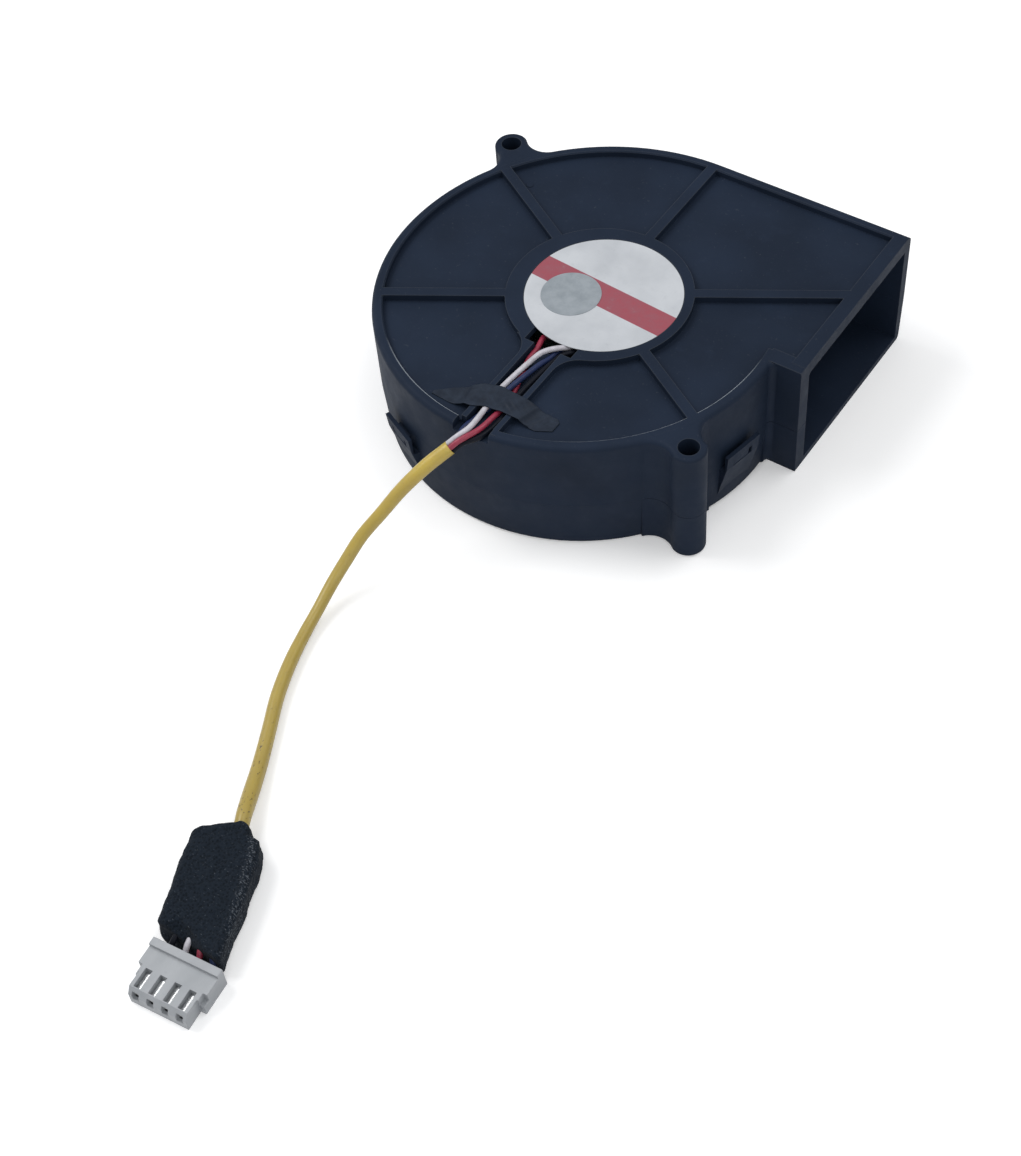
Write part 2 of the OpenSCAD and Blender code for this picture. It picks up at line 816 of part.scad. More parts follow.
// The hub that holds the rotor cup
module impeller() {
    color("#14171c")
        difference() {
            translate([0, 0, hub_face])
                cylinder(r = impeller_hub_r, h = impeller_top - hub_face);
            translate([0, 0, hub_floor])
                cylinder(r = cup_r, h = impeller_top);
        }
}

// The plate round the hub that carries the blades
module impeller_plate() {
    color("#14171c")
        translate([0, 0, blade_top])
            difference() {
                cylinder(r = impeller_r, h = back_plate);
                translate([0, 0, -cut])
                    cylinder(r = impeller_hub_r, h = back_plate + 2 * cut);
            }
}

// The blades, between the tie ring and the plate
module impeller_blades() {
    color("#171a20")
        translate([0, 0, blade_bottom])
            linear_extrude(blade_top - blade_bottom)
                for (i = [0 : blade_count - 1])
                    rotate(360 / blade_count * i)
                        blade_outline();
}

module tie_ring() {
    color("#14171c")
        translate([0, 0, impeller_bottom])
            difference() {
                cylinder(r = impeller_r, h = tie_ring_h);
                translate([0, 0, -cut])
                    cylinder(r = impeller_r - tie_ring_w, h = tie_ring_h + 2 * cut);
            }
}

module rotor_cup() {
    color("#9aa0a6")
        difference() {
            translate([0, 0, hub_floor])
                cylinder(r = cup_r, h = cup_top - hub_floor);
            translate([0, 0, cup_floor])
                cylinder(r = magnet_r, h = cup_top);
            translate([0, 0, hub_floor - cut])
                cylinder(r = bush_r / 2 + shaft_r / 2, h = cup_floor);
        }
}

module rotor_magnet() {
    color("#3a3532")
        translate([0, 0, magnet_top - magnet_len])
            difference() {
                cylinder(r = magnet_r, h = magnet_len);
                translate([0, 0, -cut])
                    cylinder(r = magnet_bore, h = magnet_len + 2 * cut);
            }
}

module shaft_bush() {
    color("#c9a24a")
        difference() {
            union() {
                translate([0, 0, hub_floor])
                    cylinder(r = bush_r / 2 + shaft_r / 2, h = bush_top - hub_floor);
                translate([0, 0, cup_floor])
                    cylinder(r = bush_r, h = bush_top - cup_floor);
            }
            translate([0, 0, hub_floor - cut])
                cylinder(r = shaft_r, h = bush_top);
        }
}

module shaft() {
    color("#c8ccd0")
        difference() {
            translate([0, 0, hub_floor])
                cylinder(r = shaft_r, h = shaft_top - hub_floor);
            translate([0, 0, clip_z])
                rotate_extrude()
                    translate([shaft_r - clip_groove, 0])
                        square([clip_groove + cut, clip_t]);
        }
}

module bearing_tube() {
    color("#c9a24a")
        difference() {
            translate([0, 0, tube_bottom])
                cylinder(r = tube_r, h = hub_bottom - tube_bottom);
            translate([0, 0, tube_bottom - cut])
                cylinder(r = bearing_r, h = lower_bearing + bearing_w - tube_bottom + cut);
            translate([0, 0, tube_bottom])
                cylinder(r = bearing_r - tube_step, h = height);
            translate([0, 0, upper_bearing])
                cylinder(r = bearing_r, h = height);
        }
}

// A ball race as a ring with a round groove
module race(bottom, from_r, to_r) {
    translate([0, 0, bottom])
        rotate_extrude()
            difference() {
                translate([from_r, 0])
                    square([to_r - from_r, bearing_w]);
                translate([race_pitch, bearing_w / 2])
                    circle(ball_r + ball_play);
            }
}

module outer_race(bottom) {
    color("#c8ccd0")
        race(bottom, race_pitch + race_land, bearing_r);
}

module inner_race(bottom) {
    color("#d4d7da")
        race(bottom, shaft_r, race_pitch - race_land);
}

module balls(bottom) {
    color("#e6e8ea")
        for (i = [0 : ball_count - 1])
            rotate(360 / ball_count * i)
                translate([race_pitch, 0, bottom + bearing_w / 2])
                    sphere(r = ball_r, $fn = 48);
}

// A round tube swept along a route; the reference direction keeps its rings from twisting
module swept_tube(route, r, sides) {
    last = len(route) - 1;
    ways = [for (i = [0 : last]) unit(route[min(i + 1, last)] - route[max(i - 1, 0)])];
    rings = [
        for (i = [0 : last])
            let (side = unit(cross(ways[i], [1, 0, 0])), up = cross(side, ways[i]))
            for (j = [0 : sides - 1])
                route[i] + r * (cos(360 * j / sides) * side + sin(360 * j / sides) * up)
    ];
    polyhedron(
        points = rings,
        faces = concat(
            [[for (j = [0 : sides - 1]) j]],
            [for (i = [0 : last - 1]) for (j = [0 : sides - 1])
                let (k = (j + 1) % sides)
                [i * sides + k, i * sides + j, (i + 1) * sides + j, (i + 1) * sides + k]],
            [[for (j = [sides - 1 : -1 : 0]) last * sides + j]]
        ),
        convexity = 6
    );
}

module preload_spring() {
    coil_r = race_pitch - race_land - spring_wire_r - spring_side;
    from = bush_top + spring_wire_r + spring_end;
    rise = spring_h - 2 * (spring_wire_r + spring_end);
    count = spring_turns * spring_steps;
    color("#b8bcc0")
        swept_tube(
            [for (i = [0 : count])
                let (p = coil_r * heading(360 * i / spring_steps))
                [p.x, p.y, from + rise * i / count]],
            spring_wire_r, 6
        );
}

module shaft_clip() {
    color("#8f959b")
        translate([0, 0, clip_z])
            linear_extrude(clip_t)
                difference() {
                    circle(clip_r);
                    circle(shaft_r - clip_groove);
                    translate([0, -shaft_r + clip_mouth / 2])
                        square([clip_r * 2, 2 * shaft_r - clip_mouth]);
                }
}

// The lamination's outline: a ring, four necks and four curved tips
module core_outline() {
    difference() {
        union() {
            circle(stator_ring_r);
            for (turn = COIL_TURNS)
                rotate(turn) {
                    translate([tube_r + tooth_root, -tooth_w / 2])
                        square([tip_r - tip_t / 2 - tube_r - tooth_root, tooth_w]);
                    intersection() {
                        difference() {
                            circle(tip_r);
                            circle(tip_r - tip_t);
                        }
                        polygon([[0, 0], 2 * tip_r * heading(-tip_span), 2 * tip_r * heading(tip_span)]);
                    }
                }
        }
        circle(tube_r);
    }
}

module stator_core() {
    color("#6d7278")
        translate([0, 0, stack_z])
            linear_extrude(stack_h)
                core_outline();
}

// An end insulator: a ring and four arms over the teeth, with a collar
module insulator(bottom, collar_from, collar_to) {
    color("#d8d4c4") {
        difference() {
            union() {
                translate([0, 0, bottom])
                    cylinder(r = stator_ring_r, h = insulator_t);
                for (turn = COIL_TURNS)
                    rotate(turn)
                        translate([tube_r + tooth_root, -tooth_w / 2, bottom])
                            cube([coil_to - tube_r - tooth_root, tooth_w, insulator_t]);
                translate([0, 0, collar_from])
                    cylinder(r = tube_r + collar_wall, h = collar_to - collar_from);
            }
            translate([0, 0, collar_from - cut])
                cylinder(r = tube_r, h = height);
        }
    }
}

module lower_insulator() {
    insulator(stack_z - insulator_t, stack_z - insulator_t - collar_drop, stack_z);
}

module upper_insulator() {
    insulator(stack_z + stack_h, stack_z + stack_h, board_z);
}

// A winding around one tooth's neck and its two insulator arms
module coil(turn) {
    inner_h = stack_h + 2 * insulator_t;
    color("#b5672f")
        rotate(turn)
            difference() {
                translate([coil_from, -coil_half, stack_z - insulator_t - coil_t])
                    cube([coil_to - coil_from, 2 * coil_half, inner_h + 2 * coil_t]);
                translate([coil_from - cut, -tooth_w / 2 - play, stack_z - insulator_t])
                    cube([coil_to - coil_from + 2 * cut, tooth_w + 2 * play, inner_h]);
                for (side = [-1, 1])
                    for (end = [-1, 1])
                        translate([0, side * coil_half, stack_z + stack_h / 2 + end * (inner_h / 2 + coil_t)])
                            rotate([45, 0, 0])
                                cube([4 * tip_r, coil_t, coil_t], center = true);
            }
}

module circuit_board() {
    color("#2f5d3a")
        translate([0, 0, board_z])
            difference() {
                cylinder(r = board_r, h = board_t);
                translate([0, 0, -cut])
                    cylinder(r = board_bore, h = board_t + 2 * cut);
            }
}

module driver_chip() {
    color("#17181a")
        translate([chip_at.x - chip_size.x / 2, chip_at.y - chip_size.y / 2, board_top])
            cube(chip_size);
}

module filter_capacitor() {
    color("#8a6a4a")
        translate([capacitor_at.x - capacitor_size.x / 2, capacitor_at.y - capacitor_size.y / 2, board_top])
            cube(capacitor_size);
}

module hall_sensor() {
    color("#17181a")
        translate([sensor_at.x - sensor_size.x / 2, sensor_at.y - sensor_size.y / 2, board_z - sensor_size.z])
            cube(sensor_size);
}

module label() {
    color("#d6d8da")
        translate([label_x, label_y, height - label_seat])
            cylinder(r = label_r, h = label_t);
}

module round_sticker() {
    color("#a2abb2")
        translate([sticker_x, sticker_y, height - label_seat + label_t])
            cylinder(r = sticker_r, h = sticker_t);
}

// A wire: from the board to the sleeve, and its end between foam and connector
module wire(index, shade) {
    color(shade) {
        swept_tube(WIRES[index], wire_d / 2, tube_sides);
        swept_tube(tail(WIRE_WAYS[index]), wire_d / 2, tube_sides);
    }
}

module wire_tape() {
    top = height + tape_lift;
    low = panel_top;
    inner = tape_reach - 2 * tape_ramp;
    color("#15171a")
        translate([tape_x, tape_y])
            rotate(tape_turn)
                rotate([90, 0, 0])
                    linear_extrude(tape_w, center = true)
                        polygon([
                            [-tape_reach, low], [-tape_reach + tape_ramp, low], [-inner, top], [inner, top],
                            [tape_reach - tape_ramp, low], [tape_reach, low], [tape_reach, low + tape_t],
                            [tape_reach - tape_ramp, low + tape_t], [inner, top + tape_t],
                            [-inner, top + tape_t], [-tape_reach + tape_ramp, low + tape_t],
                            [-tape_reach, low + tape_t]
                        ]);
}

module yellow_sleeve() {
    color("#c8ae4a")
        swept_tube(SLEEVE, sleeve_d / 2, tube_sides);
}

// A rounded section of the foam wrap, upright across a direction on the floor
function foam_section(at, turn, width) = [
    for (corner = [[1, 0, -90], [1, 1, 0], [-1, 1, 90], [-1, 0, 180]])
        for (point = arc_points(
            [corner[0] * (width / 2 - foam_corner), foam_corner + corner[1] * (foam_h - 2 * foam_corner)],
            foam_corner, corner[2], corner[2] + 90, 4
        ))
            [at.x + point.x * cos(turn), at.y + point.x * sin(turn), point.y]
];

// The wrap runs from a narrow section at the sleeve to a wide one at the connector
module foam_wrap() {
    rear = foam_section(foam_at, foam_turn + 90, foam_rear_w);
    front = foam_section(foam_front, foam_front_turn, foam_w);
    sides = len(rear);
    color("#1c1e22")
        polyhedron(
            points = concat(rear, front),
            faces = concat(
                [[for (j = [0 : sides - 1]) j]],
                [for (j = [0 : sides - 1]) [(j + 1) % sides, j, sides + j]],
                [for (j = [0 : sides - 1]) [(j + 1) % sides, sides + j, sides + (j + 1) % sides]],
                [[for (j = [sides - 1 : -1 : 0]) sides + j]]
            ),
            convexity = 4
        );
}

// Puts a connector piece in place, with the connector's mouth along X
module at_connector() {
    translate([connector_at.x, connector_at.y])
        rotate(connector_turn)
            children();
}

module connector_housing() {
    nose_from = connector_len - nose_len;
    deck = connector_h - ridge;
    color("#d5d9dc")
        at_connector()
            difference() {
                union() {
                    translate([0, -connector_w / 2, 0])
                        cube([nose_from, connector_w, deck]);
                    translate([0, -connector_w / 2, 0])
                        cube([2 * ridge, connector_w, connector_h]);
                    rotate([90, 0, 0])
                        linear_extrude(nose_w, center = true)
                            polygon([
                                [ridge, 0], [connector_len, 0], [connector_len, nose_lip],
                                [connector_len - nose_slope, deck], [ridge, deck]
                            ]);
                }
                for (side = [-1, 1])
                    translate([nose_from - side_notch / 2, side * connector_w / 2, connector_h])
                        cube([side_notch, 2 * side_notch_depth, 2 * wire_z], center = true);
                for (way = WAYS) {
                    translate([-cut, way * pitch, wire_z])
                        rotate([0, 90, 0])
                            cylinder(d = wire_d + 2 * play, h = cut);
                    translate([window_from, way * pitch - window_w / 2, wire_z])
                        cube([window_len, window_w, connector_h]);
                    translate([window_from, way * pitch - window_w / 2, wire_z - cavity_h / 2])
                        cube([connector_len, window_w, cavity_h]);
                }
            }
}

// A spring contact that lies in one way of the connector
module terminal(index) {
    contact_h = cavity_h - 4 * play;
    inner_w = terminal_w - 2 * terminal_wall;
    color("#c9cdd1")
        at_connector()
            translate([window_from, WAYS[index] * pitch - terminal_w / 2, wire_z - cavity_h / 2])
                difference() {
                    cube([window_len + terminal_nose, terminal_w, contact_h]);
                    translate([terminal_back, terminal_wall, terminal_wall])
                        cube([window_len + cut, inner_w, contact_h - 2 * terminal_wall]);
                }
}

housing_base();
housing_cover();
impeller();
impeller_plate();
impeller_blades();
tie_ring();
rotor_cup();
rotor_magnet();
shaft_bush();
shaft();
bearing_tube();
outer_race(lower_bearing);  // lower_outer_race
inner_race(lower_bearing);  // lower_inner_race
balls(lower_bearing);  // lower_balls
outer_race(upper_bearing);  // upper_outer_race
inner_race(upper_bearing);  // upper_inner_race
balls(upper_bearing);  // upper_balls
preload_spring();
shaft_clip();
stator_core();
lower_insulator();
upper_insulator();
coil(COIL_TURNS[0]);  // coil_1
coil(COIL_TURNS[1]);  // coil_2
coil(COIL_TURNS[2]);  // coil_3
coil(COIL_TURNS[3]);  // coil_4
circuit_board();
driver_chip();
hall_sensor();
filter_capacitor();
label();
round_sticker();
wire(0, "#b02a3a");  // wire_red
wire(1, "#e4e4e2");  // wire_white
wire(2, "#2a3a78");  // wire_blue
wire(3, "#1a1b20");  // wire_black
wire_tape();
yellow_sleeve();
foam_wrap();
connector_housing();
terminal(0);  // terminal_1
terminal(1);  // terminal_2
terminal(2);  // terminal_3
terminal(3);  // terminal_4
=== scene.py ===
"""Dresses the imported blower: camera, lead, soft pieces, materials, stage and light."""
import math

import bmesh
import bpy
from mathutils import Matrix, Vector, noise


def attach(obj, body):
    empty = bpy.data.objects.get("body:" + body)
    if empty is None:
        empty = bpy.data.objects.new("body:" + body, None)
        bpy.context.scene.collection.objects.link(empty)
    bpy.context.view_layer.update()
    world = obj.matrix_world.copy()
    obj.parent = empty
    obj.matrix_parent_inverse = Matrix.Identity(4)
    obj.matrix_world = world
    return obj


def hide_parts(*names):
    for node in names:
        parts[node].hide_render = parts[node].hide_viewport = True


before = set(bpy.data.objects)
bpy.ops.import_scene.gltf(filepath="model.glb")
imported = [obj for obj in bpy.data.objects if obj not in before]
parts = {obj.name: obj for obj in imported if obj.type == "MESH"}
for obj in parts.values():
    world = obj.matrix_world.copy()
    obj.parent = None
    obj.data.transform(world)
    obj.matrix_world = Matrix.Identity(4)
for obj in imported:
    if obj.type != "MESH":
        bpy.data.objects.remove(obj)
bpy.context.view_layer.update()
scene = bpy.context.scene
scene.view_settings.view_transform = "Standard"
MM = 0.001
# Heights of the housing's panels and rim in millimetres, as in the part's source
PANEL_Z, RIM_Z = 28.4, 30.0


def mm(points):
    """Points given in millimetres, as vectors in metres."""
    return [Vector(p) * MM for p in points]


# Camera: where the photograph was taken from
LENS, SENSOR, NEAREST = 62.857, 36.0, 0.01
EYE = Vector((0.17672, -0.25927, 0.32879))
RIGHT = (0.82427, 0.56273, -0.06251)
UP = (-0.40974, 0.66905, 0.62007)
BACK = (0.39075, -0.48550, 0.78205)
camera = bpy.data.objects.new("camera", bpy.data.cameras.new("camera"))
camera.data.lens = LENS
camera.data.sensor_width = SENSOR
camera.data.clip_start = NEAREST
camera.matrix_world = Matrix.Translation(EYE) @ Matrix((RIGHT, UP, BACK)).transposed().to_4x4()
scene.collection.objects.link(camera)
scene.camera = camera

# Shapes
# A hollow tube's lip is cut back by this much, across and along the tube
LIP_IN, LIP_BACK = 0.04 * MM, 0.05 * MM
# A face with more corners than this closes an end, and stays flat
QUAD = 4


def ramp(value, low, high):
    """0 up to low, 1 from high on and smooth between."""
    s = min(1.0, max(0.0, (value - low) / (high - low)))
    return s * s * (3 - 2 * s)


def bell(off, width):
    """1 in the middle, falling off to both sides."""
    return math.exp(-(off / width) ** 2)


def follow(line, x):
    """Height of a line of points over x."""
    for (x0, y0), (x1, y1) in zip(line, line[1:]):
        if x <= x1:
            return y0 + (y1 - y0) * (x - x0) / (x1 - x0)
    return line[-1][1]


def smooth_route(points, steps):
    """Points along one smooth curve through the given ones."""
    pts = [2 * points[0] - points[1], *points, 2 * points[-1] - points[-2]]
    route = []
    for p0, p1, p2, p3 in zip(pts, pts[1:], pts[2:], pts[3:]):
        t1 = (p1 - p0).length ** 0.5
        t2 = t1 + (p2 - p1).length ** 0.5
        t3 = t2 + (p3 - p2).length ** 0.5
        for i in range(steps):
            t = t1 + (t2 - t1) * i / steps
            a = p0.lerp(p1, t / t1)
            b = p1.lerp(p2, (t - t1) / (t2 - t1))
            c = p2.lerp(p3, (t - t2) / (t3 - t2))
            ab = a.lerp(b, t / t2)
            bc = b.lerp(c, (t - t1) / (t3 - t1))
            route.append(ab.lerp(bc, (t - t1) / (t2 - t1)))
    return route + [points[-1]]


def ring_at(bm, centre, side, up, radius, count):
    """A ring of new vertices round a point."""
    turns = [2 * math.pi * j / count for j in range(count)]
    return [bm.verts.new(centre + radius * (math.cos(t) * side + math.sin(t) * up))
            for t in turns]


def join_rings(bm, a, b):
    """Faces between two rings of vertices."""
    for j in range(len(a)):
        k = (j + 1) % len(a)
        bm.faces.new((a[j], a[k], b[k], b[j]))


def add_tube(bm, route, radius, sides, mouth=None):
    """Adds a closed tube along a route; mouth = (inner radius, depth) hollows its start.

    The radius is a number, or a function of the share of the route that lies behind.
    """
    last = len(route) - 1
    way = (route[1] - route[0]).normalized()
    side = way.orthogonal().normalized()
    rings = []
    for i, p in enumerate(route):
        ahead = (route[min(i + 1, last)] - route[max(i - 1, 0)]).normalized()
        side = way.rotation_difference(ahead) @ side
        side = (side - side.dot(ahead) * ahead).normalized()
        way = ahead
        up = way.cross(side)
        r = radius(i / last) if callable(radius) else radius
        if i == 0 and mouth:
            inner, depth = mouth
            for lip, inset in ((inner, depth), (inner, 0.0), (r - LIP_IN, 0.0)):
                rings.append(ring_at(bm, p + inset * way, side, up, lip, sides))
            p = p + LIP_BACK * way
        rings.append(ring_at(bm, p, side, up, r, sides))
    for a, b in zip(rings, rings[1:]):
        join_rings(bm, a, b)
    bm.faces.new(rings[0][::-1])
    bm.faces.new(rings[-1])


def finish_mesh(name, bm):
    """Turns a bmesh into an object in the scene, smooth but for the faces that close its ends."""
    bmesh.ops.recalc_face_normals(bm, faces=bm.faces)
    mesh = bpy.data.meshes.new(name)
    bm.to_mesh(mesh)
    bm.free()
    for polygon in mesh.polygons:
        polygon.use_smooth = len(polygon.vertices) <= QUAD
    piece = bpy.data.objects.new(name, mesh)
    scene.collection.objects.link(piece)
    return piece


def coat(piece, material):
    """Gives a piece one material, in place of any it has."""
    piece.data.materials.clear()
    piece.data.materials.append(material)


def dress(piece, material, slot, *replaced):
    """Gives a new piece its material and hides the nodes that it stands for; slot is not used."""
    coat(piece, material)
    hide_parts(*replaced)
    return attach(piece, "housing")


# Materials
BEVEL_SAMPLES = 6


class Tree:
    """Short forms for one material's nodes."""

    def __init__(self, name):
        self.material = bpy.data.materials.new(name)
        self.material.use_nodes = True
        self.nodes = self.material.node_tree.nodes
        self.links = self.material.node_tree.links
        self.shader = self.nodes["Principled BSDF"]
        self.place = self.add("ShaderNodeTexCoord").outputs["Object"]

    def add(self, kind, inputs=None, **settings):
        """A new node; an input is a constant or another node's output."""
        made = self.nodes.new(kind)
        for key, value in settings.items():
            setattr(made, key, value)
        for key, value in (inputs or {}).items():
            self.put(made.inputs[key], value)
        return made

    def put(self, socket, value):
        """Links an output to a socket or sets its constant; a colour comes without its alpha."""
        if isinstance(value, bpy.types.NodeSocket):
            self.links.new(value, socket)
        elif isinstance(value, tuple) and len(value) == 3 and socket.type == "RGBA":
            socket.default_value = (*value, 1.0)
        else:
            socket.default_value = value

    def set(self, **inputs):
        """Sets the shader's own sockets; an underscore stands for a space."""
        for key, value in inputs.items():
            self.put(self.shader.inputs[key.replace("_", " ")], value)

    def noise(self, size, detail, rough=0.5, vector=None):
        """Noise with features of about that size in metres."""
        made = self.add("ShaderNodeTexNoise", {"Vector": vector or self.place, "Scale": 1.0 / size,
                                               "Detail": detail, "Roughness": rough})
        return made.outputs["Fac"]

    def cells(self, size):
        """Distance to the middle of the nearest cell, with cells of about that size in metres."""
        made = self.add("ShaderNodeTexVoronoi", {"Vector": self.place, "Scale": 1.0 / size})
        return made.outputs["Distance"]

    def span(self, value, low, high, to_low=0.0, to_high=1.0):
        """Carries a range of values to another one, without leaving it."""
        made = self.add("ShaderNodeMapRange", {"Value": value, "From Min": low, "From Max": high,
                                               "To Min": to_low, "To Max": to_high})
        return made.outputs["Result"]

    def math(self, operation, a, b=0.0):
        """A sum, product or the like of two values, or of one."""
        return self.add("ShaderNodeMath", {0: a, 1: b}, operation=operation).outputs[0]

    def away(self, value, middle):
        """How far a value is from a middle one, on either side."""
        return self.math("ABSOLUTE", self.math("SUBTRACT", value, middle))

    def mix(self, factor, a, b):
        """One colour at 0, another at 1."""
        made = self.add("ShaderNodeMix", data_type="RGBA")
        self.put(made.inputs["Factor"], factor)
        colours = [s for s in made.inputs if s.type == "RGBA"]
        self.put(colours[0], a)
        self.put(colours[1], b)
        return [s for s in made.outputs if s.type == "RGBA"][0]

    def bump(self, height, distance, strength, normal=None):
        """Normals that follow a height, on top of others."""
        inputs = {"Height": height, "Distance": distance, "Strength": strength}
        if normal:
            inputs["Normal"] = normal
        return self.add("ShaderNodeBump", inputs).outputs["Normal"]

    def normal(self):
        """The face's own normal."""
        return self.add("ShaderNodeNewGeometry").outputs["Normal"]

    def soft_edges(self, radius):
        """Normals that round the edges by a small radius."""
        made = self.add("ShaderNodeBevel", {"Radius": radius}, samples=BEVEL_SAMPLES)
        return made.outputs["Normal"]

    def stretched(self, scale):
        """Object coordinates with each axis scaled."""
        made = self.add("ShaderNodeMapping", {"Vector": self.place, "Scale": scale})
        return made.outputs["Vector"]

    def dot(self, a, b):
        """How far one vector reaches along another."""
        made = self.add("ShaderNodeVectorMath", {0: a, 1: b}, operation="DOT_PRODUCT")
        return made.outputs["Value"]

    def axes(self, vector):
        """A vector's three coordinates."""
        return self.add("ShaderNodeSeparateXYZ", {"Vector": vector}).outputs


def shade(colour, factor):
    """A colour made darker or lighter, white at most."""
    return tuple(min(1.0, c * factor) for c in colour)


# Lighter edges on the housing, part rubbing and part painted highlight, and a painted highlight on
# the rim: how far up a bevel of 45 degrees faces, the radius by which edges are found, and the
# heights between which the lighter edges set in
BEVEL_UP = math.sqrt(0.5)
EDGE_FIND_R = 0.35 * MM
EDGE_MARK_FROM, EDGE_MARK_TO = (RIM_Z - 0.6) * MM, (RIM_Z - 0.4) * MM
# Colour of the dust on plastic
DUST = (0.2, 0.21, 0.22)


def rim_glint(t):
    """1 on the rim's bevel on the near side of the housing, where it faces back: a painted
    highlight.
    """
    x, y, z = t.axes(t.normal())
    bevel = t.span(t.away(z, BEVEL_UP), 0.03, 0.01)
    near = t.span(t.math("SUBTRACT", y, t.math("MULTIPLY", x, 0.5)), 0.3, 0.45)
    # Shapes the painted highlight by which way the bevel faces: weaker where its normal's x is near
    # -0.17
    worn = t.span(t.away(x, -0.17), 0.1, 0.2, 0.12, 1.0)
    return t.math("MULTIPLY", bevel, t.math("MULTIPLY", near, worn))


def edge_wear_and_glint(t):
    """Rises towards the edges of the housing's highest faces: rims, ribs and ears, lighter there
    partly from rubbing and partly as a painted highlight.
    """
    # Painted highlight, partly rubbing: lighter colour where the rounded normal leaves the face's
    # own
    edge = t.span(t.dot(t.soft_edges(EDGE_FIND_R), t.normal()), 0.99, 0.85, 0.0, 0.4)
    return t.math("MULTIPLY", edge, t.span(t.axes(t.place)["Z"], EDGE_MARK_FROM, EDGE_MARK_TO))


def moulded_plastic(name, colour, rough, grain=0.22 * MM, depth=0.02 * MM, dust=0.2, gloss=0.5,
                    edge=0.1 * MM, rim=None):
    """Moulded plastic: cloudy tone, fine grain, rubbed patches, dust, and on a rim, lighter edges
    (part rubbing, part painted highlight) and a painted highlight on its near bevel.
    """
    t = Tree(name)
    swell = t.bump(t.noise(4 * MM, 2.0), 0.05 * MM, 0.25, t.soft_edges(edge))
    cloud = t.noise(18 * MM, 3.0)
    rubbed = t.noise(5 * MM, 6.0, 0.65)
    tone = t.mix(t.span(cloud, 0.35, 0.65), shade(colour, 0.88), shade(colour, 1.14))
    tone = t.mix(t.span(rubbed, 0.58, 0.8, 0.0, 0.35), tone, shade(colour, 1.5))
    # Painted highlights: edges lighter, partly from rubbing, and the rim's near bevel lit bright in
    # the rim colour
    if rim:
        tone = t.mix(edge_wear_and_glint(t), tone, shade(rim, 0.3))
        tone = t.mix(rim_glint(t), tone, rim)
    facing_up = t.span(t.axes(t.normal())["Z"], 0.6, 0.95)
    speck = t.math("MULTIPLY", t.span(t.noise(0.6 * MM, 3.0), 0.66, 0.8), facing_up)
    t.set(Base_Color=t.mix(t.math("MULTIPLY", speck, dust), tone, DUST),
          Roughness=t.span(rubbed, 0.3, 0.75, rough + 0.08, rough - 0.08),
          Specular_IOR_Level=gloss,
          Normal=t.bump(t.noise(grain, 2.0), depth, 0.5, swell))
    return t.material


def wire_plastic(name, colour, gloss=0.5):
    """Wire covering: small scuffs, grime and a faint unevenness."""
    t = Tree(name)
    scuff = t.noise(1.1 * MM, 5.0, 0.6)
    grime = t.noise(3.5 * MM, 4.0, 0.6)
    tone = t.mix(t.span(scuff, 0.4, 0.75), colour, shade(colour, 0.78))
    t.set(Base_Color=t.mix(t.span(grime, 0.56, 0.78, 0.0, 0.45), tone, shade(colour, 0.45)),
          Roughness=t.span(scuff, 0.3, 0.7, 0.3, 0.5), Specular_IOR_Level=gloss,
          Normal=t.bump(t.noise(0.5 * MM, 3.0), 0.03 * MM, 0.5))
    return t.material


def metal(name, colour, rough, grain=(1.0, 1.0, 30.0), size=2 * MM):
    """Metal with fine tool or rolling marks; grain says how much finer they are along each axis."""
    t = Tree(name)
    marks = t.noise(size, 4.0, 0.6, t.stretched(grain))
    stain = t.noise(4 * MM, 3.0)
    t.set(Base_Color=t.mix(t.span(stain, 0.4, 0.7), colour, shade(colour, 0.8)),
          Metallic=1.0,
          Roughness=t.span(marks, 0.3, 0.7, rough - 0.08, rough + 0.1),
          Normal=t.bump(marks, 0.01 * MM, 0.4))
    return t.material


# rim is the colour of the painted highlight on the rim's near bevel; the lighter edges take 0.3 of
# it
housing_plastic = moulded_plastic("housing_plastic", (0.0115, 0.019, 0.036), 0.6, dust=0.12,
                                  gloss=0.1, edge=0.16 * MM, rim=(0.28, 0.31, 0.35))
impeller_plastic = moulded_plastic("impeller_plastic", (0.012, 0.013, 0.016), 0.45, dust=0.1,
                                   gloss=0.3)
plated_steel = metal("plated_steel", (0.5, 0.5, 0.5), 0.35)
bright_steel = metal("bright_steel", (0.62, 0.62, 0.63), 0.25, size=1 * MM)
brass = metal("brass", (0.62, 0.45, 0.18), 0.32, size=1 * MM)
lamination = metal("lamination", (0.3, 0.31, 0.33), 0.45, (1.0, 1.0, 80.0))
winding = metal("winding", (0.45, 0.17, 0.06), 0.34, (4.0, 4.0, 30.0))
contact = metal("contact", (0.66, 0.67, 0.68), 0.22, size=1 * MM)
magnet = moulded_plastic("magnet", (0.03, 0.028, 0.027), 0.6, grain=0.3 * MM, dust=0.0)
insulator = moulded_plastic("insulator", (0.62, 0.58, 0.46), 0.5, dust=0.1)
board = moulded_plastic("board", (0.008, 0.018, 0.014), 0.45, grain=0.9 * MM, depth=0.03 * MM,
                        dust=0.1)
chip = moulded_plastic("chip", (0.012, 0.012, 0.013), 0.55, dust=0.1)
capacitor = moulded_plastic("capacitor", (0.24, 0.13, 0.06), 0.4, dust=0.1)
red_wire = wire_plastic("red_wire", (0.30, 0.026, 0.058))
white_wire = wire_plastic("white_wire", (0.53, 0.515, 0.56))
blue_wire = wire_plastic("blue_wire", (0.015, 0.027, 0.085), gloss=0.3)
black_wire = wire_plastic("black_wire", (0.006, 0.0075, 0.013), gloss=0.12)

# Where along Y the sleeve turns duller, and where dark marks set in
DULL_FROM, DULL_TO = -55 * MM, -80 * MM
MARKS_FROM, MARKS_TO = -105 * MM, -118 * MM


